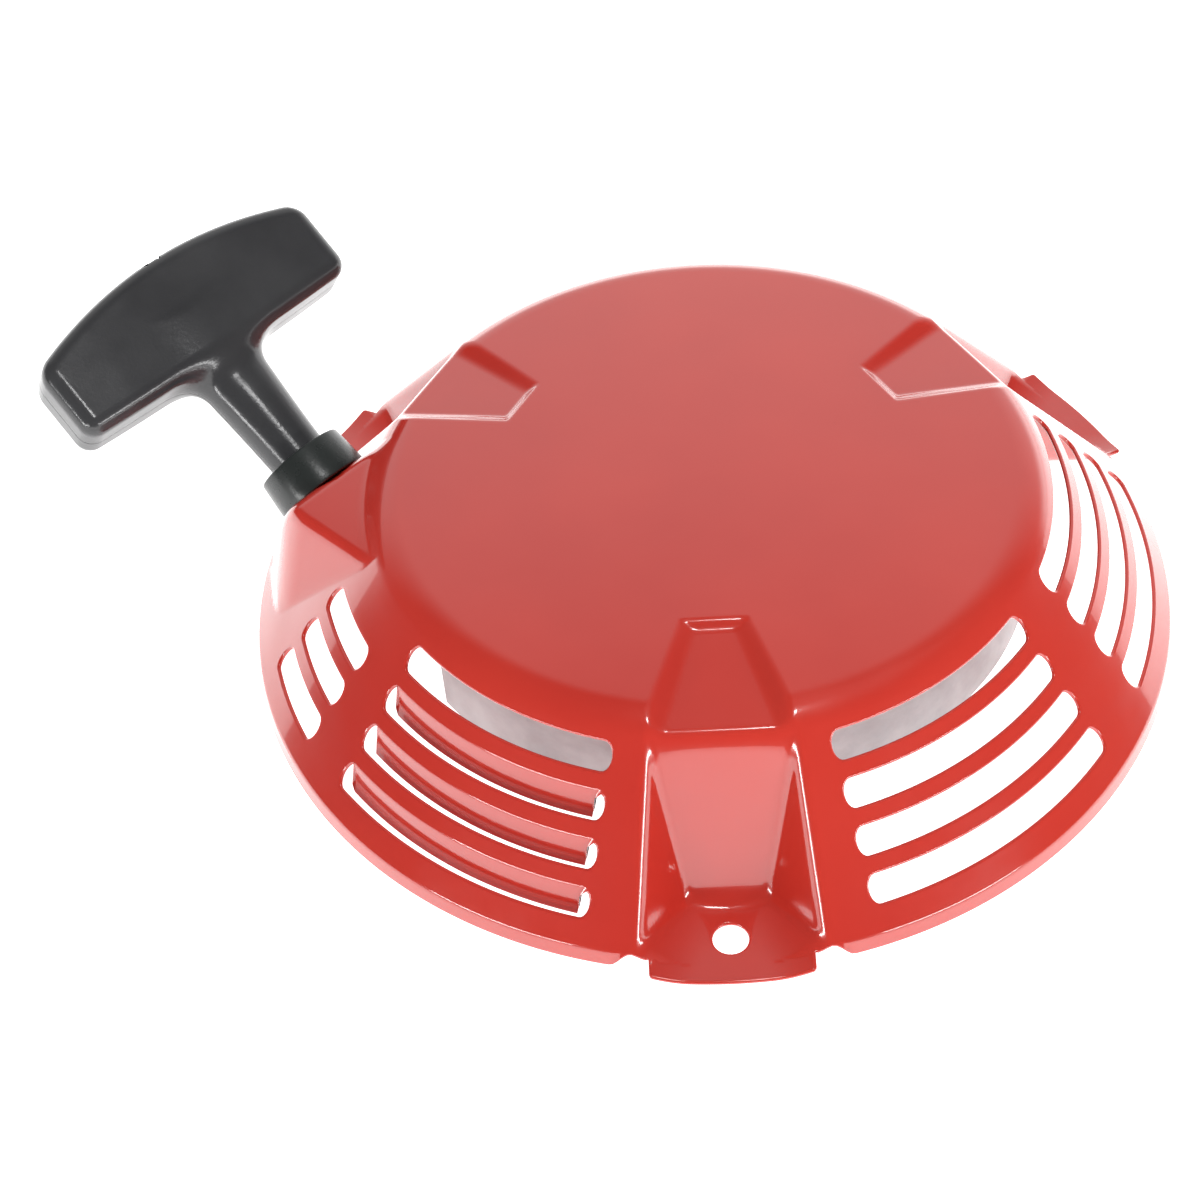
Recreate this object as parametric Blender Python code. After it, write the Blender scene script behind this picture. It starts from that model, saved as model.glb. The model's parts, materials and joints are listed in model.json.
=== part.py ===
"""Recoil starter of a small vertical-shaft engine: a pressed-steel cover on three bolted tabs, a plated
housing under it that carries the rope reel, and a T-handle whose rope leaves through a guide in the cover.

Frame: metres, +Z up. The origin is on the reel's axis, in the plane of the mounting face (z = 0).
The front tab points along -Y. The rope runs out to the left and back, and upwards.
"""
import math

import bmesh
import bpy
from mathutils import Matrix, Vector

# ---- driving dimensions ---------------------------------------------------------------------------------
SHEET = 0.0010                 # thickness of the cover's steel
RIM_R = 0.0975                 # outside radius of the cover's rim
LIP_LEAN = 0.0009              # the lip round the rim is steeper than the cone and leans out by this much
DOME_Z = 0.0403                # top of the slightly domed disc
DOME_DROP = 0.0024             # fall of the disc from its centre to DOME_EDGE_R
DOME_EDGE_R = 0.0640
SHOULDER_R = 0.0100            # bend radius between disc and cone
CORNER_R = 0.0669              # where the lines of disc and cone would meet
CONE_REF_R, CONE_REF_Z = 0.0680, 0.0363
CONE_SLOPE = 1.140             # fall of the cone for each metre outwards
COVER_SIDES = 60
FACET_TURN = 1.7               # turns the cover's facets so that no facet's edge meets the end of a slot

TAB_ANGLES = (-90.0, 30.0, 150.0)
TAB_EDGE_R = 0.1003            # the tabs' outer edge is an arc about the reel's axis
TAB_HALF = 0.0152
TAB_HOLE_PCR = 0.0904          # bolt circle radius
TAB_HOLE_R = 0.0034

SLOT_R0 = 0.0708               # inner edge of the innermost ring of slots
SLOT_PITCH = 0.00622
SLOT_W = 0.0037
SLOT_FULL = (17.9, 54.0)       # angles of a long slot's end caps from the tab on its near side
SLOT_SHORT = (64.0, 75.5)      # the group next to the rope's exit
LOUVRE_DROP = 0.0055           # depth of the lips pressed inwards in the louvred slots
LIP_T = 0.0007                 # a louvred slot starts this much outside the face of its lip

HOUSING_R = 0.0670             # outside radius of the plated housing
HOUSING_Z0, HOUSING_Z1 = 0.0142, 0.0315
HOUSING_T = 0.0010
CROWN_Z = 0.0382               # top face of the housing's crown
CROWN_R = 0.0330
HOUSING_SHOULDER = ((0.0600, 0.0335), (0.0655, 0.0315))    # the crown's edge and the wall's top, (r, z)
HOUSING_INSIDE = ((0.0650, 0.0305), (0.0597, 0.0325))
WALL_BEND = 0.0020
ROPE_WINDOW = ((-0.0720, -0.0410), (-0.0480, 0.0120))          # corners of the opening in the housing's wall
ROPE_WINDOW_Z = (0.0120, 0.0290)               # it is open at the wall's lower edge

REEL_R = 0.0630
REEL_Z0, REEL_Z1 = 0.0150, 0.0290
GROOVE_R = 0.0500
GROOVE_Z0, GROOVE_Z1 = 0.0170, 0.0270
WEB_Z0, WEB_Z1 = 0.0160, 0.0185
COIL_R = 0.0568                # outside radius of the rope on the reel
ROPE_R = 0.00225
ROPE_Z = 0.0220
COIL_GAP, COIL_CORNER = 0.0006, 0.0008
KNOT_PCR, KNOT_ANGLE = 0.0545, 115.0
KNOT_POCKET_R, KNOT_POCKET_Z = 0.0042, (0.0130, 0.0166)
KNOT_SIZE, KNOT_SPREAD, KNOT_Z = 0.0012, 2.2, 0.0148

SPRING_TURNS, SPRING_R0, SPRING_R1 = 6.0, 0.0150, 0.0450
SPRING_HALF_T, SPRING_Z = 0.0003, (0.0195, 0.0283)
SPRING_COVER_R, SPRING_COVER_T = 0.0480, 0.0008

POST_R = 0.0070
POST_FLANGE_R, POST_FLANGE_Z = 0.0140, 0.0345
POST_FOOT_Z = 0.0068
SCREW_BORE_R = 0.0033
BUSH_R = 0.0088
BUSH_Z = (0.0120, 0.0310)
HUB_R = 0.0125
HUB_Z = (0.0125, 0.0305)
REEL_FOOT_R = (0.0560, 0.0590)  # the web's underside slopes down to the lower flange between these
POCKET_R = 0.0465              # wall of the spring's pocket
FLANGE_EDGE = 0.0014
PAWL_PIVOT_R = 0.0270
PAWL_ANGLES = (20.0, 200.0)
PLATE_TURN = 24.0              # degrees that the control plate lags before the pawls are out
PAWL_SWING = 30.0              # degrees that each pawl swings outwards
PIN_R, PIN_Z = 0.0025, (0.0109, 0.0157)
PAWL_Z = (0.0110, 0.0138)
PEG_X, PEG_Y, PEG_R = -0.0002, 0.0085, 0.0012
PEG_Z = (0.0085, 0.0112)
PEG_SLOT_HALF = 0.0019
PAWL_SPRING_R, PAWL_SPRING_WIRE = 0.0036, 0.00035
PAWL_SPRING_Z, PAWL_SPRING_PITCH = 0.0145, 0.0009
PAWL_SPRING_END = (-0.0014, 0.0085, 0.0155)
PLATE_BORE_GAP, PLATE_R, PLATE_Z = 0.0004, 0.0310, (0.0090, 0.0105)
FRICTION_R, FRICTION_WIRE, FRICTION_Z, FRICTION_PITCH = 0.0100, 0.0003, 0.0072, 0.0006
WASHER_BORE_R, WASHER_R, WASHER_Z = 0.0034, 0.0130, (0.0053, 0.0065)
HEX_R, HEX_H = 0.0065, 0.0042
SCREW_FLANGE_R, SCREW_FLANGE_Z = 0.0082, (0.0035, 0.0050)
SHANK_R, SHANK_TOP = 0.0030, 0.0240
GAP = 0.0003                   # clearance between neighbouring pieces

EXIT = Vector((-0.0802, 0.0114, 0.0260))     # centre of the rope guide's seat on the cover
EXIT_AZ, EXIT_EL, GRIP_ROLL = 135.0, 33.0, 3.0
GUIDE_R0, GUIDE_R1, GUIDE_LEN = 0.0105, 0.0098, 0.0090
GUIDE_RECESS_R, GUIDE_RECESS_FLOOR = 0.0074, 0.0030
SPIGOT_R, BARB_R, SPIGOT_LEN = 0.0052, 0.0060, 0.0100
THROAT_R, THROAT_WIDE_R = 0.0033, 0.0046
MOUTH_DEPTH, MOUTH_BEND = 0.0105, 0.0060      # the guide's inner mouth, and the rope's straight run into it
GRIP_CENTRE = 0.0465           # distance of the grip's bar from the guide's seat
GRIP_HALF = 0.0350
GRIP_DEPTH, GRIP_THICK, GRIP_SHIFT = (0.0127, 0.0037), (0.0084, 0.0012), (0.0012, 0.0030)
GRIP_END, GRIP_END_FALL = 0.90, 0.35           # share where the ends begin to close, and how far they close
GRIP_SQUARENESS = 0.6
GRIP_SIDES = 20
STEM = ((0.0063, 0.0035), (0.0067, 0.0100), (0.0073, 0.0260), (0.0086, 0.0330), (0.0080, 0.0420))
BORE_R, GRIP_POCKET_R, GRIP_POCKET_FLOOR = 0.0028, 0.0062, 0.0485
FERRULE_R0, FERRULE_R1, FERRULE_Z = 0.0027, 0.0058, (0.0488, 0.0500)
GRIP_KNOT_R, GRIP_KNOT_AT = 0.0046, 0.0537
RUN_STOPS = (-0.0100, 0.0100, 0.0300, 0.0501)


# ---- frame of the rope's exit ---------------------------------------------------------------------------
def exit_axes():
    """Unit vectors: along the rope, across it (towards the right end of the grip) and upwards."""
    az, el, roll = (math.radians(a) for a in (EXIT_AZ, EXIT_EL, GRIP_ROLL))
    along = Vector((math.cos(az) * math.cos(el), math.sin(az) * math.cos(el), math.sin(el)))
    level = Vector((math.sin(az), -math.cos(az), 0.0))
    rise = level.cross(along)
    across = math.cos(roll) * level + math.sin(roll) * rise
    return along, across, across.cross(along)


ALONG, ACROSS, UPWARD = exit_axes()
EXIT_FRAME = Matrix.Translation(EXIT) @ Matrix((ACROSS, -UPWARD, ALONG)).transposed().to_4x4()


# ---- modelling helpers ----------------------------------------------------------------------------------
def material(name, color, roughness, metallic=0.0):
    mat = bpy.data.materials.new(name)
    mat.use_nodes = True
    shader = mat.node_tree.nodes["Principled BSDF"]
    shader.inputs["Base Color"].default_value = (*color, 1.0)
    shader.inputs["Roughness"].default_value = roughness
    shader.inputs["Metallic"].default_value = metallic
    return mat


def add_object(name, bm, mat=None, parent=None, sharp=35.0):
    """Make an object from a bmesh given in world coordinates, and hang it on its parent in place."""
    bmesh.ops.recalc_face_normals(bm, faces=bm.faces)
    mesh = bpy.data.meshes.new(name)
    bm.to_mesh(mesh)
    bm.free()
    obj = bpy.data.objects.new(name, mesh)
    bpy.context.scene.collection.objects.link(obj)
    if mat:
        mesh.materials.append(mat)
        mesh.shade_smooth()
        mesh.set_sharp_from_angle(angle=math.radians(sharp))
    if parent:
        mesh.transform(parent.matrix_world.inverted())
        obj.parent = parent
    return obj


def joint_empty(name, matrix, parent=None):
    empty = bpy.data.objects.new(name, None)
    bpy.context.scene.collection.objects.link(empty)
    empty.parent = parent
    if parent:
        matrix = parent.matrix_world.inverted() @ matrix
    empty.matrix_basis = matrix
    bpy.context.view_layer.update()
    return empty


def lathe_into(bm, profile, segments, ring=True, matrix=None):
    """Turn a closed (r, z) outline about Z. An outline with ring=False begins and ends on the axis."""
    rows = []
    for r, z in profile:
        if r < 1e-9:
            rows.append([bm.verts.new((0.0, 0.0, z))] * segments)
            continue
        turn = [2.0 * math.pi * k / segments for k in range(segments)]
        rows.append([bm.verts.new((r * math.cos(a), r * math.sin(a), z)) for a in turn])
    pairs = list(zip(rows, rows[1:]))
    if ring:
        pairs.append((rows[-1], rows[0]))
    for low, high in pairs:
        for k in range(segments):
            n = (k + 1) % segments
            corners = []
            for v in (low[k], low[n], high[n], high[k]):
                if v not in corners:
                    corners.append(v)
            if len(corners) > 2:
                bm.faces.new(corners)
    if matrix:
        used = {v for row in rows for v in row}
        bmesh.ops.transform(bm, matrix=matrix, verts=list(used))


def lathe(name, profile, segments, mat=None, ring=True, matrix=None, parent=None):
    bm = bmesh.new()
    lathe_into(bm, profile, segments, ring, matrix)
    return add_object(name, bm, mat, parent)


def hull_into(bm, points, matrix=None):
    fresh = [bm.verts.new(p) for p in points]
    if matrix:
        bmesh.ops.transform(bm, matrix=matrix, verts=fresh)
    made = bmesh.ops.convex_hull(bm, input=fresh)
    loose = [g for g in made["geom_interior"] + made["geom_unused"] if isinstance(g, bmesh.types.BMVert)]
    bmesh.ops.delete(bm, geom=list(set(loose)), context="VERTS")


def prism_into(bm, outline, z0, z1, matrix=None):
    """Extrude a closed (x, y) outline from z0 to z1."""
    low = [bm.verts.new((x, y, z0)) for x, y in outline]
    high = [bm.verts.new((x, y, z1)) for x, y in outline]
    bm.faces.new(low)
    bm.faces.new(high)
    for k in range(len(outline)):
        n = (k + 1) % len(outline)
        bm.faces.new((low[k], low[n], high[n], high[k]))
    if matrix:
        bmesh.ops.transform(bm, matrix=matrix, verts=low + high)


def sweep_into(bm, points, section):
    """Loft one flat section, given as (across, up) pairs, along level points."""
    rows = []
    for k, p in enumerate(points):
        ahead = points[min(k + 1, len(points) - 1)] - points[max(k - 1, 0)]
        side = Vector((ahead.y, -ahead.x, 0.0)).normalized()
        rows.append([bm.verts.new(p + side * a + Vector((0.0, 0.0, b))) for a, b in section])
    for low, high in zip(rows, rows[1:]):
        for k in range(len(section)):
            n = (k + 1) % len(section)
            bm.faces.new((low[k], low[n], high[n], high[k]))
    bm.faces.new(rows[0])
    bm.faces.new(rows[-1])


def cutter_object(name, bm):
    obj = add_object(name, bm)
    obj.hide_render = True
    obj.display_type = "WIRE"
    return obj


def in_millimetres(obj):
    """Keep the mesh in millimetres under a scale of 0.001, so that Booleans work on numbers near 1."""
    obj.data.transform(Matrix.Scale(1000.0, 4))
    obj.scale = (0.001, 0.001, 0.001)
    bpy.context.view_layer.update()
    return obj


def boolean(obj, other, operation, overlapping=False):
    """Boolean with another object, which may itself be made of overlapping bodies."""
    mod = obj.modifiers.new(operation.title() + " " + other.name, "BOOLEAN")
    mod.operation = operation
    mod.solver = "EXACT"
    mod.use_self = overlapping
    mod.object = other


def cut_together(obj, cutters, name):
    """Take several overlapping cutters away in one Boolean."""
    group = bpy.data.collections.new(name)
    bpy.context.scene.collection.children.link(group)
    for cutter in cutters:
        group.objects.link(cutter)
    mod = obj.modifiers.new("Difference " + name, "BOOLEAN")
    mod.operation = "DIFFERENCE"
    mod.solver = "EXACT"
    mod.operand_type = "COLLECTION"
    mod.collection = group


def tube(name, points, radius, mat, parent=None, resolution=2):
    """A round rope or wire through hand-chosen points, as a curve with a bevel and filled caps."""
    curve = bpy.data.curves.new(name, "CURVE")
    curve.dimensions = "3D"
    curve.bevel_depth = radius
    curve.bevel_resolution = resolution
    curve.use_fill_caps = True
    spline = curve.splines.new("POLY")
    spline.points.add(len(points) - 1)
    inverse = parent.matrix_world.inverted() if parent else Matrix.Identity(4)
    for slot, p in zip(spline.points, points):
        slot.co = (*(inverse @ Vector(p)), 1.0)
    curve.materials.append(mat)
    obj = bpy.data.objects.new(name, curve)
    bpy.context.scene.collection.objects.link(obj)
    obj.parent = parent
    return obj


def arc(centre, radius, start, end, steps):
    """Points on an arc, angles in degrees."""
    turn = [math.radians(start + (end - start) * k / steps) for k in range(steps + 1)]
    return [(centre[0] + radius * math.cos(a), centre[1] + radius * math.sin(a)) for a in turn]


def about_z(degrees):
    return Matrix.Rotation(math.radians(degrees), 4, "Z")


# ---- cover ----------------------------------------------------------------------------------------------
def cone_z(r):
    return CONE_REF_Z - CONE_SLOPE * (r - CONE_REF_R)


def dome_outline(inset):
    """Outer half outline of the dome from its top down to the rim, moved inwards by inset."""
    slope = math.atan(CONE_SLOPE)
    tilt = math.atan(2.0 * DOME_DROP / DOME_EDGE_R)
    corner_z = cone_z(CORNER_R)
    tangent = SHOULDER_R * math.tan((slope - tilt) / 2.0)
    start_r = CORNER_R - tangent * math.cos(tilt)
    start_z = corner_z + tangent * math.sin(tilt)
    centre = (start_r - SHOULDER_R * math.sin(tilt), start_z - SHOULDER_R * math.cos(tilt))
    flat = [start_r * k / 3.0 for k in range(3)]
    rise = start_z - (DOME_Z - DOME_DROP * (start_r / DOME_EDGE_R) ** 2)
    points = []
    for r in flat:
        points.append((r, DOME_Z + rise * (r / start_r) ** 2 - DOME_DROP * (r / DOME_EDGE_R) ** 2 - inset))
    points += arc(centre, SHOULDER_R - inset, 90.0 - math.degrees(tilt), 90.0 - math.degrees(slope), 4)
    foot_r = RIM_R - LIP_LEAN - inset
    shift = inset * math.sin(slope)
    points.append((foot_r, cone_z(foot_r + shift) - inset * math.cos(slope)))
    return points


def tab_hulls(bm, grow):
    """Each tab's shallow recess in the disc and deep channel, and the rope guide's seat, widened by grow."""
    floor = 0.0010 - grow
    recess = [(s * (0.0048 + grow), 0.0452 - grow, 0.0376 - grow) for s in (-1, 1)]
    recess += [(s * (0.0118 + grow), 0.0690, 0.0347 - grow) for s in (-1, 1)]
    recess += [(s * (0.0085 + grow), 0.0415 - grow, 0.0600) for s in (-1, 1)]
    recess += [(s * (0.0175 + grow), 0.0760, 0.0600) for s in (-1, 1)]
    channel = [(s * (0.0075 + grow), 0.0823 - grow, floor) for s in (-1, 1)]
    channel += [(s * (0.0145 + grow), 0.1080, floor) for s in (-1, 1)]
    channel += [(s * (0.0185 + grow), 0.0960, 0.0042) for s in (-1, 1)]
    channel += [(s * (0.0190 + grow), 0.1080, 0.0042) for s in (-1, 1)]
    channel += [(s * (0.0130 + grow), 0.0667 - grow, 0.0380) for s in (-1, 1)]
    channel += [(s * (0.0160 + grow), 0.0580 - grow, 0.0600) for s in (-1, 1)]
    channel += [(s * (0.0210 + grow), 0.1080, 0.0600) for s in (-1, 1)]
    for angle in TAB_ANGLES:
        for points in (recess, channel):
            hull_into(bm, points, about_z(angle - 90.0))
    seat = [(a * (0.0127 + grow), b * (0.0120 + grow), -grow) for a in (-1, 1) for b in (-1, 1)]
    seat += [(a * (0.0160 + grow), b * (0.0160 + grow), 0.0400) for a in (-1, 1) for b in (-1, 1)]
    hull_into(bm, seat, EXIT_FRAME)


def boss_points(shrink):
    """Raised flat on the cone, square to the rope, that the rope guide sits on."""
    wide, high = 0.0125 - shrink, 0.0110 - shrink
    seat = EXIT + ALONG * (0.0015 - shrink)
    points = [seat + ACROSS * a * wide + UPWARD * b * high for a in (-1, 1) for b in (-1, 1)]
    points += [Vector((-0.0677 + shrink, -0.0180 + shrink, 0.0335 - shrink))]
    points += [Vector((-0.0520, y * (0.0200 - shrink), 0.0345 - 1.3 * shrink)) for y in (-1, 1)]
    low = -0.0050 if shrink else 0.0
    points += [Vector((-0.0940 + shrink, -0.0090 + shrink, low))]
    points += [Vector((-0.0900 + shrink, 0.0250 - shrink, low))]
    points += [Vector((-0.0500, -0.0250 + shrink, low)), Vector((-0.0500, 0.0400 - shrink, low))]
    return points


def slot_outline(ring, start, end, lip):
    """A long curved slot with round ends, whose inner side keeps clear of a lip of the given thickness."""
    outer = SLOT_R0 + ring * SLOT_PITCH + SLOT_W
    inner = outer - SLOT_W + lip
    mid, cap_r = (inner + outer) / 2.0, (outer - inner) / 2.0
    steps = 5 if end - start > 20.0 else 2
    sweep = [math.radians(start + (end - start) * k / steps) for k in range(steps + 1)]
    points = [(outer * math.cos(a), outer * math.sin(a)) for a in sweep]
    for angle, turn in ((end, 0.0), (start, 180.0)):
        a = math.radians(angle)
        centre = (mid * math.cos(a), mid * math.sin(a))
        points += arc(centre, cap_r, angle + turn + 36.0, angle + turn + 144.0, 2)
        if angle == end:
            points += [(inner * math.cos(b), inner * math.sin(b)) for b in reversed(sweep)]
    return points


def slot_groups():
    """(first ring, start, end, louvred) for each group of slots. The rope's exit takes one's place."""
    near, far = SLOT_FULL
    front, right, left = TAB_ANGLES
    groups = []
    for angle in (front, right):
        groups.append((0, angle + near, angle + far, False))
    for angle in (right, left):
        groups.append((0, angle - far, angle - near, False))
    groups.append((0, front - far, front - near, True))
    groups.append((1, front - SLOT_SHORT[1], front - SLOT_SHORT[0], False))
    return groups


def make_cover(mat):
    bm = bmesh.new()
    lathe_into(bm, dome_outline(0.0) + [(RIM_R, 0.0), (0.0, 0.0)], COVER_SIDES, False, about_z(FACET_TURN))
    cover = in_millimetres(add_object("cover", bm, mat))

    bm = bmesh.new()
    hull_into(bm, boss_points(0.0))
    boss = cutter_object("boss_block", bm)
    bm = bmesh.new()
    for angle in TAB_ANGLES:
        half = math.degrees(math.asin(TAB_HALF / TAB_EDGE_R))
        edge = arc((0.0, 0.0), TAB_EDGE_R, -half, half, 6)
        prism_into(bm, edge + [(0.0750, TAB_HALF), (0.0750, -TAB_HALF)], 0.0, SHEET, about_z(angle))
    tabs = cutter_object("tab_plates", bm)
    bm = bmesh.new()
    tab_hulls(bm, 0.0)
    recesses = cutter_object("tab_recesses", bm)

    bm = bmesh.new()
    inner_half = dome_outline(SHEET) + [(RIM_R - SHEET, -0.0050), (0.0, -0.0050)]
    lathe_into(bm, inner_half, COVER_SIDES, False, about_z(FACET_TURN))
    core = in_millimetres(cutter_object("cover_core", bm))
    bm = bmesh.new()
    hull_into(bm, boss_points(0.0012))
    boss_core = cutter_object("boss_core", bm)
    bm = bmesh.new()
    tab_hulls(bm, SHEET)
    walls = cutter_object("tab_walls", bm)
    boolean(core, boss_core, "UNION")
    boolean(core, walls, "DIFFERENCE", overlapping=True)
    bm = bmesh.new()
    for angle in TAB_ANGLES:
        edge = arc((0.0, 0.0), 0.1200, -12.0, 12.0, 2)
        prism_into(bm, edge + [(0.0790, 0.0180), (0.0790, -0.0180)], -0.0100, SHEET, about_z(angle))
    floors = cutter_object("tab_floors", bm)
    boolean(core, floors, "DIFFERENCE")

    bm = bmesh.new()
    for ring, start, end, louvred in slot_groups():
        for k in range(ring, 4):
            lip = LIP_T if louvred and k > 0 else 0.0
            prism_into(bm, slot_outline(k, start, end, lip), 0.0018, 0.0500)
    for angle in TAB_ANGLES:
        hole = arc((TAB_HOLE_PCR, 0.0), TAB_HOLE_R, 0.0, 345.0, 15)
        prism_into(bm, hole, -0.0050, 0.0080, about_z(angle))
    slots = cutter_object("slot_cutters", bm)

    bm = bmesh.new()
    spigot = [(0.0, -0.0150), (0.0056, -0.0150), (0.0056, 0.0100), (0.0, 0.0100)]
    lathe_into(bm, spigot, 20, ring=False, matrix=EXIT_FRAME)
    rope_hole = cutter_object("rope_hole", bm)

    bm = bmesh.new()
    for _, start, end, louvred in slot_groups():
        for ring in range(1, 4) if louvred else ():
            inner = SLOT_R0 + ring * SLOT_PITCH
            top = cone_z(inner)
            section = [(-0.0004, 0.0010), (0.0005, 0.0010), (0.0005, -LOUVRE_DROP), (-0.0004, -LOUVRE_DROP)]
            turn = [math.radians(start + (end - start) * k / 8.0) for k in range(9)]
            path = [Vector((inner * math.cos(a), inner * math.sin(a), top)) for a in turn]
            sweep_into(bm, path, section)
    lips = cutter_object("louvre_lips", bm)

    boolean(core, lips, "DIFFERENCE")
    boolean(cover, boss, "UNION")
    boolean(cover, recesses, "DIFFERENCE", overlapping=True)
    boolean(cover, tabs, "UNION")
    cut_together(cover, (core, slots, rope_hole), "cover_cuts")


# ---- housing and centre post ----------------------------------------------------------------------------
def make_housing(zinc, steel):
    t = HOUSING_T
    wall, bore = HOUSING_R - t, POST_R + GAP
    outer = [(bore, CROWN_Z), (CROWN_R, CROWN_Z), *HOUSING_SHOULDER, (HOUSING_R, HOUSING_Z1 - WALL_BEND),
             (HOUSING_R, HOUSING_Z0)]
    inner = [(wall, HOUSING_Z0), (wall, HOUSING_Z1 - WALL_BEND - t / 2.0), *HOUSING_INSIDE,
             (CROWN_R - 0.4 * t, CROWN_Z - t), (bore, CROWN_Z - t)]
    housing = lathe("reel_housing", outer + inner, 48, zinc)
    bm = bmesh.new()
    (x0, y0), (x1, y1) = ROPE_WINDOW
    prism_into(bm, [(x1, y0), (x0, y0), (x0, y1), (x1, y1)], *ROPE_WINDOW_Z)
    boolean(housing, cutter_object("rope_window", bm), "DIFFERENCE")

    top = CROWN_Z - t - GAP
    post = [(SCREW_BORE_R, POST_FOOT_Z), (POST_R, POST_FOOT_Z), (POST_R, POST_FLANGE_Z),
            (POST_FLANGE_R, POST_FLANGE_Z), (POST_FLANGE_R, top), (SCREW_BORE_R, top)]
    lathe("centre_post", post, 32, steel)


# ---- reel, spring and rope on it ------------------------------------------------------------------------
def make_reel(plastic, steel, brass, rope, body):
    bore = BUSH_R + GAP
    outline = [(bore, HUB_Z[0]), (HUB_R, HUB_Z[0]), (HUB_R, WEB_Z0), (REEL_FOOT_R[0], WEB_Z0),
               (REEL_FOOT_R[1], REEL_Z0), (REEL_R, REEL_Z0), (REEL_R, REEL_Z0 + FLANGE_EDGE),
               (GROOVE_R, GROOVE_Z0), (GROOVE_R, GROOVE_Z1), (REEL_R, REEL_Z1 - FLANGE_EDGE),
               (REEL_R, REEL_Z1), (POCKET_R, REEL_Z1), (POCKET_R, WEB_Z1), (HUB_R, WEB_Z1),
               (HUB_R, HUB_Z[1]), (bore, HUB_Z[1])]
    reel = lathe("reel", outline, 40, plastic, parent=body)
    bm = bmesh.new()
    prism_into(bm, arc((KNOT_PCR, 0.0), KNOT_POCKET_R, 0.0, 330.0, 11), *KNOT_POCKET_Z, about_z(KNOT_ANGLE))
    boolean(reel, cutter_object("knot_pocket", bm), "DIFFERENCE")
    inside = POST_R + 0.0001
    bush = [(inside, BUSH_Z[0]), (BUSH_R, BUSH_Z[0]), (BUSH_R, BUSH_Z[1]), (inside, BUSH_Z[1])]
    lathe("reel_bush", bush, 32, brass, parent=body)
    low, inside = REEL_Z1 + GAP, HUB_R + 4.0 * GAP
    plate = [(inside, low), (SPRING_COVER_R, low), (SPRING_COVER_R, low + SPRING_COVER_T),
             (inside, low + SPRING_COVER_T)]
    lathe("spring_cover", plate, 36, steel, parent=body)
    low, high, inside = GROOVE_Z0 + COIL_GAP, GROOVE_Z1 - COIL_GAP, GROOVE_R + GAP
    coil = [(inside, low), (COIL_R - COIL_CORNER, low), (COIL_R, low + 0.0010), (COIL_R, high - 0.0010),
            (COIL_R - COIL_CORNER, high), (inside, high)]
    lathe("rope_coil", coil, 40, rope, parent=body)
    bm = bmesh.new()
    bmesh.ops.create_icosphere(bm, subdivisions=2, radius=KNOT_SIZE)
    bmesh.ops.scale(bm, vec=(KNOT_SPREAD, KNOT_SPREAD, 1.0), verts=bm.verts)
    centre = about_z(KNOT_ANGLE) @ Vector((KNOT_PCR, 0.0, KNOT_Z))
    bmesh.ops.translate(bm, vec=centre, verts=bm.verts)
    add_object("rope_knot_reel", bm, rope, body)


def make_spring(steel):
    """Flat spiral: hooked on the post's collar at its inner end, wound out to the pocket's wall."""
    steps = int(SPRING_TURNS * 20)
    path = []
    for k in range(steps + 1):
        t = k / steps
        r, a = SPRING_R0 + (SPRING_R1 - SPRING_R0) * t, 2.0 * math.pi * SPRING_TURNS * t
        path.append(Vector((r * math.cos(a), r * math.sin(a), 0.0)))
    bm = bmesh.new()
    low, high = SPRING_Z
    half = SPRING_HALF_T
    sweep_into(bm, path, [(-half, low), (half, low), (half, high), (-half, high)])
    add_object("recoil_spring", bm, steel)


# ---- pawls and their control plate ----------------------------------------------------------------------
def pawl_outline():
    """Pawl seen from below with its pivot at (0, 0), pointing along +Y with its nose outwards (+X)."""
    points = arc((0.0, 0.0), 0.0052, 180.0, 360.0, 8)
    points += [(0.0056, 0.0060), (0.0078, 0.0125), (0.0092, 0.0165), (0.0070, 0.0175), (0.0010, 0.0150)]
    points += [(-0.0032, 0.0095)]
    return points


def make_pawls(steel, dark_steel, body):
    for k, angle in enumerate(PAWL_ANGLES, start=1):
        place = about_z(angle) @ Matrix.Translation((PAWL_PIVOT_R, 0.0, 0.0))
        pin = [(0.0, PIN_Z[0]), (PIN_R, PIN_Z[0]), (PIN_R, PIN_Z[1]), (0.0, PIN_Z[1])]
        lathe(f"pawl_pin_{k}", pin, 16, steel, ring=False, matrix=place, parent=body)
        pivot = joint_empty(f"pawl_{k}_pivot", place, body)
        bm = bmesh.new()
        prism_into(bm, pawl_outline(), *PAWL_Z, place)
        pawl = add_object(f"pawl_{k}", bm, dark_steel, pivot)
        bm = bmesh.new()
        prism_into(bm, arc((0.0, 0.0), PIN_R + 0.0002, 0.0, 345.0, 15), PEG_Z[0], WEB_Z0, place)
        boolean(pawl, cutter_object(f"pawl_{k}_bore", bm), "DIFFERENCE")
        bm = bmesh.new()
        prism_into(bm, arc((PEG_X, PEG_Y), PEG_R, 0.0, 330.0, 11), *PEG_Z, place)
        boolean(pawl, cutter_object(f"pawl_{k}_peg", bm), "UNION")
        turn = [math.radians(30.0 * n) for n in range(15)]
        path = []
        for a in turn:
            rise = PAWL_SPRING_Z + PAWL_SPRING_PITCH * a / (2.0 * math.pi)
            path.append(place @ Vector((PAWL_SPRING_R * math.cos(a), PAWL_SPRING_R * math.sin(a), rise)))
        path.append(place @ Vector(PAWL_SPRING_END))
        tube(f"pawl_spring_{k}", path, PAWL_SPRING_WIRE, steel, body)


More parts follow.
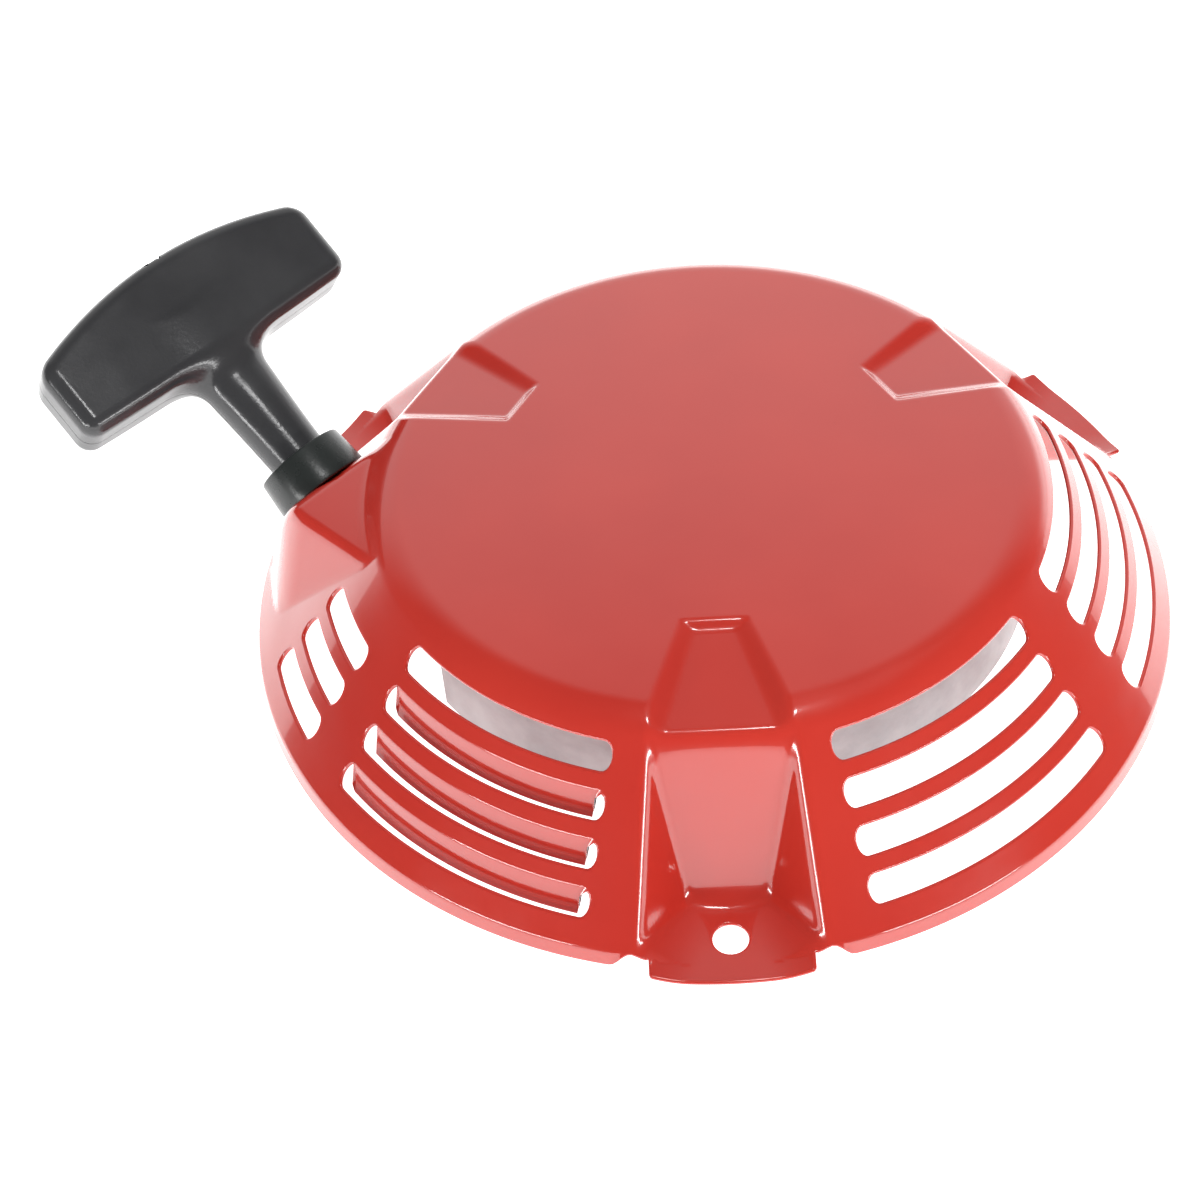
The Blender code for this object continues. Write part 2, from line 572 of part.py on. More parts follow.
def make_control(steel, zinc, plate_body):
    bore, (low, high) = POST_R + PLATE_BORE_GAP, PLATE_Z
    outline = [(bore, low), (PLATE_R, low), (PLATE_R, high), (bore, high)]
    plate = lathe("ratchet_guide", outline, 40, zinc, parent=plate_body)
    bm = bmesh.new()
    for angle in PAWL_ANGLES:
        path = []
        for k in range(5):
            path.append(about_z(angle) @ peg_in_plate(k / 4.0))
        prism_into(bm, offset_path(path, PEG_SLOT_HALF), low - 0.0010, high + 0.0015)
    boolean(plate, cutter_object("peg_slots", bm), "DIFFERENCE")
    turns, steps = 2.0, 14
    path = []
    for k in range(int(turns * steps) + 1):
        a = 2.0 * math.pi * k / steps
        rise = FRICTION_Z + FRICTION_PITCH * k / steps
        path.append((FRICTION_R * math.cos(a), FRICTION_R * math.sin(a), rise))
    tube("friction_spring", path, FRICTION_WIRE, steel, resolution=1)
    low, high = WASHER_Z
    washer = [(WASHER_BORE_R, low), (WASHER_R, low), (WASHER_R, high), (WASHER_BORE_R, high)]
    lathe("thrust_washer", washer, 36, zinc)
    bm = bmesh.new()
    prism_into(bm, arc((0.0, 0.0), HEX_R, 0.0, 300.0, 5), 0.0, HEX_H)
    screw = add_object("centre_screw", bm, zinc)
    bm = bmesh.new()
    low, high = SCREW_FLANGE_Z
    shank = [(0.0, low), (SCREW_FLANGE_R, low), (SCREW_FLANGE_R, high), (SHANK_R, high), (SHANK_R, SHANK_TOP),
             (0.0, SHANK_TOP)]
    lathe_into(bm, shank, 24, ring=False)
    boolean(screw, cutter_object("screw_shank", bm), "UNION")


def peg_in_plate(share):
    """Place of a pawl's peg in the control plate's frame at a share of its travel."""
    peg = Vector((PEG_X, PEG_Y, 0.0))
    swung = about_z(-PAWL_SWING * share) @ peg + Vector((PAWL_PIVOT_R, 0.0, 0.0))
    return about_z(-PLATE_TURN * share) @ swung


def offset_path(path, radius):
    """Outline of a slot of the given half width along a short path of points."""
    first, last = path[0], path[-1]
    start = math.degrees(math.atan2(path[1].y - first.y, path[1].x - first.x))
    end = math.degrees(math.atan2(last.y - path[-2].y, last.x - path[-2].x))
    right, left = [], []
    for before, p, after in zip(path, path[1:-1], path[2:]):
        ahead = (after - before).normalized()
        side = Vector((ahead.y, -ahead.x)) * radius
        right.append((p.x + side.x, p.y + side.y))
        left.append((p.x - side.x, p.y - side.y))
    outline = arc((first.x, first.y), radius, start + 90.0, start + 270.0, 5) + right
    outline += arc((last.x, last.y), radius, end - 90.0, end + 90.0, 5) + left[::-1]
    return outline


# ---- rope, guide and grip -------------------------------------------------------------------------------
def rope_points():
    """Centre line from the reel's coil to the guide's inner mouth: a tangent, then a bend up."""
    mouth = EXIT - ALONG * MOUTH_DEPTH
    leave_r = COIL_R + ROPE_R + GAP
    reach = math.hypot(mouth.x, mouth.y)
    bearing = math.atan2(mouth.y, mouth.x) + math.acos(leave_r / reach)
    start = Vector((leave_r * math.cos(bearing), leave_r * math.sin(bearing), ROPE_Z))
    lead = Vector((mouth.x, mouth.y, ROPE_Z)) - start
    points = []
    for k in range(13):
        t = k / 12.0
        a, b = start + lead * 0.6, mouth - ALONG * MOUTH_BEND
        near = (1 - t) ** 3 * start + 3 * t * (1 - t) ** 2 * a
        points.append(near + 3 * t * t * (1 - t) * b + t ** 3 * mouth)
    return points


def make_rope_exit(rubber, steel, rope):
    edge = 0.0012
    outline = [(THROAT_WIDE_R, -SPIGOT_LEN), (BARB_R, -SPIGOT_LEN), (BARB_R, 0.0020 - SPIGOT_LEN),
               (SPIGOT_R, 0.0030 - SPIGOT_LEN), (SPIGOT_R, GAP), (GUIDE_R0, GAP), (GUIDE_R0, 0.0020),
               (GUIDE_R1, GUIDE_LEN - edge), (GUIDE_R1 - edge, GUIDE_LEN), (GUIDE_RECESS_R, GUIDE_LEN),
               (GUIDE_RECESS_R, GUIDE_RECESS_FLOOR), (THROAT_R, GUIDE_RECESS_FLOOR - 0.0008),
               (THROAT_R, -0.0040), (THROAT_WIDE_R, -0.0045)]
    lathe("rope_guide", outline, 24, rubber, matrix=EXIT_FRAME)
    eyelet = [(0.0027, -0.0108), (0.0036, -0.0112), (0.0043, -0.0106), (0.0043, -0.0050), (0.0027, -0.0050)]
    lathe("rope_eyelet", eyelet, 24, steel, matrix=EXIT_FRAME)
    tube("rope_lead", rope_points(), ROPE_R, rope)


def grip_section(x):
    """Half depth along the rope, half thickness and mid-line shift of the bar at x from its centre."""
    share = abs(x) / GRIP_HALF
    return tuple(middle - fall * share ** 2 for middle, fall in (GRIP_DEPTH, GRIP_THICK, GRIP_SHIFT))


def make_grip(plastic, insert_mat, rope, body):
    bm = bmesh.new()
    rows = []
    stations = [-1.0, -0.97, -0.88, -0.66, -0.4, -0.15, 0.15, 0.4, 0.66, 0.88, 0.97, 1.0]
    for s in stations:
        depth, thick, shift = grip_section(s * GRIP_HALF)
        past = max(0.0, (abs(s) - GRIP_END) / (1.0 - GRIP_END))
        end = math.sqrt(max(0.0, 1.0 - past ** 2)) * GRIP_END_FALL + 1.0 - GRIP_END_FALL
        row = []
        for k in range(GRIP_SIDES):
            a = 2.0 * math.pi * k / GRIP_SIDES
            c, d = math.cos(a), math.sin(a)
            y = math.copysign(abs(c) ** GRIP_SQUARENESS, c) * thick * end
            z = math.copysign(abs(d) ** GRIP_SQUARENESS, d) * depth * end
            row.append(bm.verts.new((s * GRIP_HALF, y, GRIP_CENTRE + shift + z)))
        rows.append(row)
    for low, high in zip(rows, rows[1:]):
        for k in range(GRIP_SIDES):
            n = (k + 1) % GRIP_SIDES
            bm.faces.new((low[k], low[n], high[n], high[k]))
    bm.faces.new(rows[0])
    bm.faces.new(rows[-1])
    bmesh.ops.transform(bm, matrix=EXIT_FRAME, verts=bm.verts)
    grip = add_object("handle_grip", bm, plastic, body)
    bm = bmesh.new()
    stem = [(0.0, STEM[0][1]), *STEM, (0.0, STEM[-1][1])]
    lathe_into(bm, stem, 24, ring=False, matrix=EXIT_FRAME)
    boolean(grip, cutter_object("grip_stem", bm), "UNION")
    bm = bmesh.new()
    top = 1.5 * GRIP_CENTRE
    bore = [(0.0, 0.0), (BORE_R, 0.0), (BORE_R, GRIP_POCKET_FLOOR), (GRIP_POCKET_R, GRIP_POCKET_FLOOR),
            (GRIP_POCKET_R, top), (0.0, top)]
    lathe_into(bm, bore, 20, ring=False, matrix=EXIT_FRAME)
    boolean(grip, cutter_object("grip_bore", bm), "DIFFERENCE")
    low, high = FERRULE_Z
    ferrule = [(FERRULE_R0, low), (FERRULE_R1, low), (FERRULE_R1, high), (FERRULE_R0, high)]
    lathe("handle_ferrule", ferrule, 20, insert_mat, matrix=EXIT_FRAME, parent=body)
    bm = bmesh.new()
    bmesh.ops.create_icosphere(bm, subdivisions=2, radius=GRIP_KNOT_R)
    bmesh.ops.scale(bm, vec=(1.1, 1.1, 0.7), verts=bm.verts)
    knot_place = EXIT_FRAME @ Matrix.Translation((0.0, 0.0, GRIP_KNOT_AT))
    bmesh.ops.transform(bm, matrix=knot_place, verts=bm.verts)
    add_object("rope_knot_handle", bm, rope, body)
    run = [EXIT + ALONG * d for d in RUN_STOPS]
    tube("rope_run", run, ROPE_R, rope, body)


# ---- assembly -------------------------------------------------------------------------------------------
def main():
    for obj in list(bpy.data.objects):
        bpy.data.objects.remove(obj, do_unlink=True)
    red = material("red_paint", (0.56, 0.035, 0.028), 0.12)
    zinc = material("zinc_plate", (0.62, 0.60, 0.60), 0.34, 1.0)
    steel = material("bright_steel", (0.55, 0.55, 0.56), 0.28, 1.0)
    dark_steel = material("hardened_steel", (0.20, 0.20, 0.21), 0.38, 1.0)
    brass = material("bronze", (0.60, 0.42, 0.18), 0.36, 1.0)
    plastic = material("black_plastic", (0.022, 0.023, 0.025), 0.30)
    rubber = material("guide_plastic", (0.018, 0.020, 0.020), 0.38)
    nylon = material("reel_nylon", (0.045, 0.047, 0.050), 0.45)
    rope = material("rope", (0.78, 0.76, 0.70), 0.85)

    reel_body = joint_empty("reel_axis", Matrix.Identity(4))
    plate_body = joint_empty("ratchet_guide_axis", Matrix.Identity(4), reel_body)
    handle_body = joint_empty("handle_slide", EXIT_FRAME)

    make_cover(red)
    make_housing(zinc, steel)
    make_reel(nylon, steel, brass, rope, reel_body)
    make_spring(steel)
    make_pawls(steel, dark_steel, reel_body)
    make_control(steel, zinc, plate_body)
    make_rope_exit(rubber, steel, rope)
    make_grip(plastic, nylon, rope, handle_body)


main()
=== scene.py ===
"""Recoil starter, visual model. Lengths are millimetres until a mesh is made, then metres."""

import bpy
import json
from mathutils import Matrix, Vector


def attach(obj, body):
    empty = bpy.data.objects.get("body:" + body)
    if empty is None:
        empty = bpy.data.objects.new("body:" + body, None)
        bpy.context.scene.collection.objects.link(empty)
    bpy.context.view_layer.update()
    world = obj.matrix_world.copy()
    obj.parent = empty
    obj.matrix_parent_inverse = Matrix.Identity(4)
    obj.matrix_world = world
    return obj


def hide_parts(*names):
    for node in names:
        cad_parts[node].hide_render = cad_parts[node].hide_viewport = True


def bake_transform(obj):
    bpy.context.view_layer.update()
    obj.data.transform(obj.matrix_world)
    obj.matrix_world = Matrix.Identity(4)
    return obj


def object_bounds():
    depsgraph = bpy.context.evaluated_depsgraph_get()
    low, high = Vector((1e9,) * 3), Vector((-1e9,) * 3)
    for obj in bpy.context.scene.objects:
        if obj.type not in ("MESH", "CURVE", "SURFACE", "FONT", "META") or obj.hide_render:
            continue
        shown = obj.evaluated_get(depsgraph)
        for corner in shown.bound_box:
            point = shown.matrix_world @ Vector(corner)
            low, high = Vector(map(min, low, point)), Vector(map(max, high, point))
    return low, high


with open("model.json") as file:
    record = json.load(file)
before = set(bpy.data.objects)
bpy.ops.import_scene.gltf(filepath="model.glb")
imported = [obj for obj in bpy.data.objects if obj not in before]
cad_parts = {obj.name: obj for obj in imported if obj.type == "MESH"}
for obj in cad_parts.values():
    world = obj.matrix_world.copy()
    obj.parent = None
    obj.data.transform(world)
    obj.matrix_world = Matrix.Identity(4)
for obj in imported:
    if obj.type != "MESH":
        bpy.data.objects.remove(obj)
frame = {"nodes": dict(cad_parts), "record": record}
CAD_BOX = [list(corner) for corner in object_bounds()]

import json
import math

import bmesh
import bpy
import numpy as np
from mathutils import Matrix, Vector
from mathutils.geometry import delaunay_2d_cdt, tessellate_polygon

MM = 0.001

# ---- dimensions of the solids, in millimetres ----
SHEET = 1.0
FOOT_R = 96.6
DOME_DROP, DOME_EDGE_R = 2.4, 64.0
SHOULDER_R, CORNER_R = 10.0, 66.9
CONE_REF_R, CONE_REF_Z, CONE_SLOPE = 68.0, 36.3, 1.14
TAB_ANGLES = (-90.0, 30.0, 150.0)
TAB_EDGE_R, TAB_HALF, TAB_HOLE_PCR, TAB_HOLE_R = 100.3, 15.2, 90.4, 3.4
PLATE_R, HOLE_LOOP_R = TAB_EDGE_R - 0.4, TAB_HOLE_R + 0.5
SLOT_R0, SLOT_PITCH, SLOT_W = 70.8, 6.22, 3.7
SLOT_FULL, SLOT_SHORT = (17.9, 54.0), (64.0, 76.5)
ROPE_R, ROPE_HOLE_R = 2.25, 6.2
EXIT = np.array([-80.2, 11.4, 26.0])
EXIT_AZ, EXIT_EL, GRIP_ROLL = 135.0, 33.0, 3.0
GRIP_CENTRE, GRIP_HALF = 46.5, 35.0
HOUSING_R, WALL_INNER_R, WALL_FOOT, WALL_HEAD = 67.0, 66.0, 14.2, 29.0
PAWL_ANGLES, PAWL_PIN_PCR, PEG_X, PEG_Y = (20.0, 200.0), 27.0, -0.2, 8.5
PAWL_SWING, GUIDE_LAG = 30.0, 24.0


def exit_axes():
    az, el, roll = (math.radians(a) for a in (EXIT_AZ, EXIT_EL, GRIP_ROLL))
    along = Vector((math.cos(az) * math.cos(el), math.sin(az) * math.cos(el), math.sin(el)))
    level = Vector((math.sin(az), -math.cos(az), 0.0))
    rise = level.cross(along)
    across = math.cos(roll) * level + math.sin(roll) * rise
    return along, across, across.cross(along)


ALONG, ACROSS, UPWARD = exit_axes()
EXIT_FRAME = Matrix.Translation(EXIT) @ Matrix((ACROSS, -UPWARD, ALONG)).transposed().to_4x4()


# ---- node helpers ----
class Nodes:
    """The node tree of a new material or world, with short calls to add and join nodes."""

    def __init__(self, name, world=False):
        self.mat = (bpy.data.worlds if world else bpy.data.materials).new(name)
        self.mat.use_nodes = True
        self.tree = self.mat.node_tree
        self.shader = self.tree.nodes["Background" if world else "Principled BSDF"]
        self.coord = self.add("TexCoord").outputs
        self.place = self.coord["Object"]

    def add(self, kind):
        return self.tree.nodes.new("ShaderNode" + kind)

    def set(self, **values):
        """Put values into the shader's inputs of those names."""
        for key, value in values.items():
            self.shader.inputs[key.replace("_", " ")].default_value = value

    def link(self, source, target):
        self.tree.links.new(source, target)

    def drive(self, **sources):
        """Join outputs to the shader's inputs of those names."""
        for key, source in sources.items():
            self.link(source, self.shader.inputs[key.replace("_", " ")])

    def feed(self, socket, value):
        """Put a colour, a number or another node's output into a socket."""
        if isinstance(value, tuple):
            socket.default_value = (*value, 1.0)
        elif isinstance(value, (int, float)):
            socket.default_value = value
        else:
            self.link(value, socket)

    def noise(self, scale, detail=3.0, rough=0.5, stretch=None):
        node = self.add("TexNoise")
        node.inputs["Scale"].default_value = scale
        node.inputs["Detail"].default_value = detail
        node.inputs["Roughness"].default_value = rough
        self.link(self.stretched(stretch) if stretch else self.place, node.inputs["Vector"])
        return node.outputs["Fac"]

    def stretched(self, scale):
        node = self.add("Mapping")
        node.inputs["Scale"].default_value = scale
        self.link(self.place, node.inputs["Vector"])
        return node.outputs["Vector"]

    def ramp(self, source, *stops):
        node = self.add("ValToRGB")
        ramp = node.color_ramp
        while len(ramp.elements) < len(stops):
            ramp.elements.new(0.5)
        for element, (position, value) in zip(ramp.elements, stops):
            element.position = position
            color = value if isinstance(value, tuple) else (value, value, value)
            element.color = (*color, 1.0)
        self.link(source, node.inputs["Fac"])
        return node.outputs["Color"]

    def math(self, operation, a, b=0.5):
        node = self.add("Math")
        node.operation = operation
        self.feed(node.inputs[0], a)
        self.feed(node.inputs[1], b)
        return node.outputs[0]

    def mix(self, factor, a, b, blend="MIX"):
        node = self.add("Mix")
        node.data_type = "RGBA"
        node.blend_type = blend
        for slot, value in ((0, factor), (6, a), (7, b)):
            self.feed(node.inputs[slot], value)
        return node.outputs[2]

    def bump(self, height, strength, distance):
        node = self.add("Bump")
        node.inputs["Strength"].default_value = strength
        node.inputs["Distance"].default_value = distance
        self.link(height, node.inputs["Height"])
        before = self.shader.inputs["Normal"].links
        if before:
            self.link(before[0].from_socket, node.inputs["Normal"])
        self.drive(Normal=node.outputs["Normal"])


def red_paint():
    """Glossy enamel with a slight orange peel and a few dark specks."""
    n = Nodes("red_paint")
    n.set(Roughness=0.16, Coat_Weight=1.0, Coat_Roughness=0.03, Specular_IOR_Level=0.5, IOR=1.5)
    broad = n.noise(18.0, 3.0, 0.55)
    tone = n.ramp(broad, (0.3, (0.47, 0.026, 0.017)), (0.7, (0.53, 0.034, 0.021)))
    specks = n.ramp(n.noise(900.0, 2.0, 0.5), (0.70, 0.0), (0.78, 1.0))
    tone = n.mix(n.math("MULTIPLY", specks, 0.10), tone, (0.36, 0.016, 0.014))
    smear = n.noise(55.0, 4.0, 0.6, (1.0, 0.35, 1.0))
    n.drive(Base_Color=tone, Roughness=n.ramp(smear, (0.25, 0.13), (0.8, 0.24)))
    n.bump(n.noise(260.0, 1.0, 0.4), 0.10, 0.00022)
    n.bump(n.noise(70.0, 1.0, 0.4), 0.10, 0.0009)
    return n.mat


def zinc_plate():
    """Satin plating, blotched as zinc is."""
    n = Nodes("zinc_plate")
    n.set(Metallic=0.9)
    blotch = n.noise(70.0, 5.0, 0.6)
    n.drive(Base_Color=n.ramp(blotch, (0.3, (0.24, 0.235, 0.24)), (0.7, (0.34, 0.335, 0.34))),
            Roughness=n.ramp(n.noise(160.0, 4.0, 0.6), (0.2, 0.30), (0.8, 0.46)))
    n.bump(n.noise(420.0, 2.0, 0.5), 0.12, 0.0003)
    return n.mat


def turned_steel(name, dark, light, rough):
    """Metal with fine rings round its axis, as a lathe leaves."""
    n = Nodes(name)
    n.set(Metallic=1.0)
    rings = n.noise(60.0, 6.0, 0.7, (1.0, 1.0, 30.0))
    n.drive(Base_Color=n.ramp(rings, (0.3, dark), (0.7, light)),
            Roughness=n.ramp(n.noise(240.0, 4.0, 0.6), (0.2, rough - 0.08), (0.8, rough + 0.10)))
    n.bump(n.noise(500.0, 3.0, 0.6, (1.0, 1.0, 12.0)), 0.10, 0.0002)
    return n.mat


def moulded_plastic(name, dark, light, rough, grain=0.00012):
    """Plastic with the fine grain and slight waviness of its mould."""
    n = Nodes(name)
    n.set(Specular_IOR_Level=0.5, IOR=1.49)
    n.drive(Base_Color=n.ramp(n.noise(45.0, 3.0, 0.5), (0.3, dark), (0.75, light)),
            Roughness=n.ramp(n.noise(130.0, 4.0, 0.6), (0.2, rough - 0.05), (0.8, rough + 0.07)))
    n.bump(n.noise(1500.0, 2.0, 0.5), 0.18, grain)
    n.bump(n.noise(110.0, 2.0, 0.5), 0.08, 0.0006)
    return n


def grip_plastic():
    """Semi-gloss black with the fine parting line of the two mould halves round its middle."""
    n = moulded_plastic("black_plastic", (0.031, 0.031, 0.033), (0.043, 0.043, 0.045), 0.19)
    dot = n.add("VectorMath")
    dot.operation = "DOT_PRODUCT"
    dot.inputs[1].default_value = tuple(UPWARD)
    n.link(n.place, dot.inputs[0])
    middle = float(Vector(EXIT).dot(UPWARD)) * MM
    off = n.math("ABSOLUTE", n.math("SUBTRACT", dot.outputs["Value"], middle), 0.0)
    line = n.ramp(n.math("MULTIPLY", off, 1.0 / MM), (0.10, 0.0), (0.28, 1.0))
    base = n.shader.inputs["Base Color"].links[0].from_socket
    n.drive(Base_Color=n.mix(line, (0.006, 0.006, 0.006), base))
    n.bump(line, 0.8, 0.0003)
    return n.mat


def braided_rope():
    """Two sets of strands that cross, drawn from each rope's own strand coordinates."""
    strands_round, strand_mm = 3.0, 1.7
    n = Nodes("rope")
    n.set(Roughness=0.8, Sheen_Weight=0.25, Sheen_Roughness=0.5)
    split = n.add("SeparateXYZ")
    n.link(n.coord["UV"], split.inputs[0])
    around = n.math("MULTIPLY", split.outputs[0], 2.0 * math.pi * strands_round)
    ahead = n.math("MULTIPLY", split.outputs[1], math.pi / strand_mm)
    one = n.math("SINE", n.math("ADD", around, ahead), 0.0)
    other = n.math("SINE", n.math("SUBTRACT", around, ahead), 0.0)
    braid = n.math("ADD", n.math("MULTIPLY", n.math("MULTIPLY", one, other), 0.5), 0.5)
    tone = n.ramp(braid, (0.15, (0.40, 0.38, 0.33)), (0.8, (0.80, 0.78, 0.71)))
    fleck = n.ramp(n.noise(700.0, 3.0, 0.6), (0.35, 0.82), (0.7, 1.0))
    n.drive(Base_Color=n.mix(1.0, tone, fleck, "MULTIPLY"))
    n.bump(braid, 0.7, 0.0005)
    n.bump(n.noise(1800.0, 2.0, 0.6), 0.3, 0.0002)
    return n.mat


MATERIALS = {
    "red_paint": red_paint(),
    "zinc_plate": zinc_plate(),
    "bright_steel": turned_steel("bright_steel", (0.42, 0.42, 0.43), (0.62, 0.62, 0.63), 0.30),
    "hardened_steel": turned_steel("hardened_steel", (0.13, 0.13, 0.135), (0.23, 0.23, 0.24), 0.42),
    "spring_steel": turned_steel("spring_steel", (0.20, 0.22, 0.27), (0.36, 0.38, 0.42), 0.34),
    "bronze": turned_steel("bronze", (0.48, 0.31, 0.12), (0.64, 0.46, 0.20), 0.40),
    "black_plastic": grip_plastic(),
    "guide_plastic": moulded_plastic("guide_plastic", (0.018, 0.021, 0.020), (0.030, 0.034, 0.032), 0.26).mat,
    "reel_nylon": moulded_plastic("reel_nylon", (0.030, 0.031, 0.033), (0.050, 0.052, 0.055), 0.48,
                                  grain=0.0002).mat,
    "rope": braided_rope(),
}


# ---- mesh helpers ----
def moved(points, matrix):
    """An array of points taken through a matrix, or as it is without one."""
    if matrix is None:
        return points
    return points @ np.array(matrix.to_3x3()).T + np.array(matrix.translation)


def circle(x, y, radius, count, clockwise=False):
    turn = np.arange(count) * 2.0 * math.pi / count * (-1.0 if clockwise else 1.0)
    return np.stack([x + radius * np.cos(turn), y + radius * np.sin(turn)], -1)


def about_z(degrees):
    return Matrix.Rotation(math.radians(degrees), 4, "Z")


BODY_OF = {node: body for body, nodes in frame["record"]["behaviour"]["bodies"].items() for node in nodes}
SLOT_OF = {row["node"]: row["material_slot"] for row in frame["record"]["subparts"]}


def place_piece(obj, node, rides=True):
    """Put a finished piece in place of a solid, on the solid's body and in its finish."""
    slot, body = SLOT_OF[node], BODY_OF[node]
    obj.data.materials.clear()
    obj.data.materials.append(MATERIALS[slot])
    if rides:
        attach(obj, body)
    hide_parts(node)


def mesh_object(name, points, faces, normals=None, sharp=None):
    """An object from points in millimetres, with exact normals where they are given."""
    mesh = bpy.data.meshes.new(name)
    mesh.from_pydata((np.asarray(points) * MM).tolist(), [], faces)
    mesh.update()
    mesh.shade_smooth()
    if normals is not None:
        mesh.normals_split_custom_set_from_vertices(normals)
    elif sharp:
        mesh.set_sharp_from_angle(angle=math.radians(sharp))
    obj = bpy.data.objects.new(name, mesh)
    bpy.context.scene.collection.objects.link(obj)
    return obj


def rounded(outline, radius, steps=3, closed=True):
    """The outline with its corners turned into arcs, of at most the radius."""
    made = []
    count = len(outline)
    for k, p in enumerate(outline):
        p = np.array(p, float)
        if not closed and k in (0, count - 1):
            made.append(tuple(p))
            continue
        before, after = (np.array(outline[(k + s) % count], float) - p for s in (-1, 1))
        a, b = np.linalg.norm(before), np.linalg.norm(after)
        before, after = before / a, after / b
        half = 0.5 * math.acos(max(-1.0, min(1.0, float(before @ after))))
        if half > 1.5:
            made.append(tuple(p))
            continue
        reach = min(radius / math.tan(half), 0.45 * a, 0.45 * b)
        start, end = p + before * reach, p + after * reach
        for j in range(steps + 1):
            t = j / steps
            made.append(tuple((1 - t) ** 2 * start + 2 * t * (1 - t) * p + t * t * end))
    return made


def turned(outline, segments, matrix=None, closed=True, skip=None):
    """Points and faces of an outline of (r, z) turned about Z. An open one begins and ends on the axis."""
    outline = np.asarray(outline, float)
    turn = np.arange(segments) * 2.0 * math.pi / segments
    points = np.stack([np.outer(outline[:, 0], np.cos(turn)), np.outer(outline[:, 0], np.sin(turn)),
                       np.repeat(outline[:, 1:], segments, 1)], -1).reshape(-1, 3)
    rows = len(outline)
    faces = []
    for k in range(rows if closed else rows - 1):
        j = (k + 1) % rows
        for a in range(segments):
            if skip and skip(k, a):
                continue
            b = (a + 1) % segments
            faces.append((k * segments + a, k * segments + b, j * segments + b, j * segments + a))
    return moved(points, matrix), faces


def join_parts(parts):
    """One list of points and faces from several."""
    points, faces, start = [], [], 0
    for p, f in parts:
        points.append(np.asarray(p, float).reshape(-1, 3))
        faces += [tuple(v + start for v in face) for face in f]
        start += len(points[-1])
    return np.vstack(points), faces


def clean(obj, distance=0.002, sharp=35.0):
    """Weld points that coincide, and point all faces outwards."""
    bm = bmesh.new()
    bm.from_mesh(obj.data)
    bmesh.ops.remove_doubles(bm, verts=bm.verts, dist=distance * MM)
    bmesh.ops.dissolve_degenerate(bm, edges=bm.edges, dist=distance * MM)
    bmesh.ops.recalc_face_normals(bm, faces=bm.faces)
    bm.to_mesh(obj.data)
    bm.free()
    obj.data.shade_smooth()
    obj.data.set_sharp_from_angle(angle=math.radians(sharp))
    return obj


def add_piece(name, node, parts):
    """Clean up a piece made of points and faces, and place it."""
    place_piece(clean(mesh_object(name, *parts)), node)


def add_lathe(name, node, outline, segments, radius, matrix=None):
    """Add a turned piece whose corners have that radius."""
    add_piece(name, node, turned(rounded(outline, radius), segments, matrix))


def tube_points(path, radius, sides, closed_ends=True):
    """Points and faces of a round tube along a path, with a frame that doesn't twist."""
    path = [Vector(p) for p in path]
    tangent = [(path[min(k + 1, len(path) - 1)] - path[max(k - 1, 0)]).normalized() for k in range(len(path))]
    side = tangent[0].orthogonal().normalized()
    points, faces = [], []
    for k, (p, t) in enumerate(zip(path, tangent)):
        side = (side - t * side.dot(t)).normalized()
        other = t.cross(side)
        for a in range(sides):
            turn = 2.0 * math.pi * a / sides
            points.append(p + (side * math.cos(turn) + other * math.sin(turn)) * radius)
        if k:
            for a in range(sides):
                b = (a + 1) % sides
                low, high = (k - 1) * sides, k * sides
                faces.append((low + a, low + b, high + b, high + a))
    if closed_ends:
        faces.append(tuple(reversed(range(sides))))
        faces.append(tuple(range((len(path) - 1) * sides, len(path) * sides)))
    return np.array([tuple(p) for p in points]), faces


# ---- cover: height of its outer face over the mounting plane ----
def smooth_min(a, b, k):
    h = np.maximum(k - np.abs(a - b), 0.0) / k
    return np.minimum(a, b) - h * h * k * 0.25


def smooth_max(a, b, k):
    return -smooth_min(-a, -b, k)


def fade(t):
    t = np.clip(t, 0.0, 1.0)
    return t * t * (3.0 - 2.0 * t)


def plane(p, q, s):
    """Coefficients of the plane z = a x + b y + c through three points."""
    rows = np.array([[*v[:2], 1.0] for v in (p, q, s)])
    return np.linalg.solve(rows, [v[2] for v in (p, q, s)])


def on_plane(coefficients, x, y):
    return coefficients[0] * x + coefficients[1] * y + coefficients[2]


def base_height(r):
    """Domed disc, shoulder and cone."""
    slope, tilt = math.atan(CONE_SLOPE), math.atan(2.0 * DOME_DROP / DOME_EDGE_R)
    corner_z = CONE_REF_Z - CONE_SLOPE * (CORNER_R - CONE_REF_R)
    reach = SHOULDER_R * math.tan((slope - tilt) / 2.0)
    start_r, start_z = CORNER_R - reach * math.cos(tilt), corner_z + reach * math.sin(tilt)
    end_r = CORNER_R + reach * math.cos(slope)
    mid_r, mid_z = start_r - SHOULDER_R * math.sin(tilt), start_z - SHOULDER_R * math.cos(tilt)
    bend = math.tan(tilt) / (2.0 * start_r)
    disc = start_z + bend * (start_r ** 2 - r ** 2)
    shoulder = mid_z + np.sqrt(np.maximum(SHOULDER_R ** 2 - (r - mid_r) ** 2, 0.0))
    cone = CONE_REF_Z - CONE_SLOPE * (np.minimum(r, FOOT_R + 0.1) - CONE_REF_R)
    return np.where(r < start_r, disc, np.where(r < end_r, shoulder, cone))


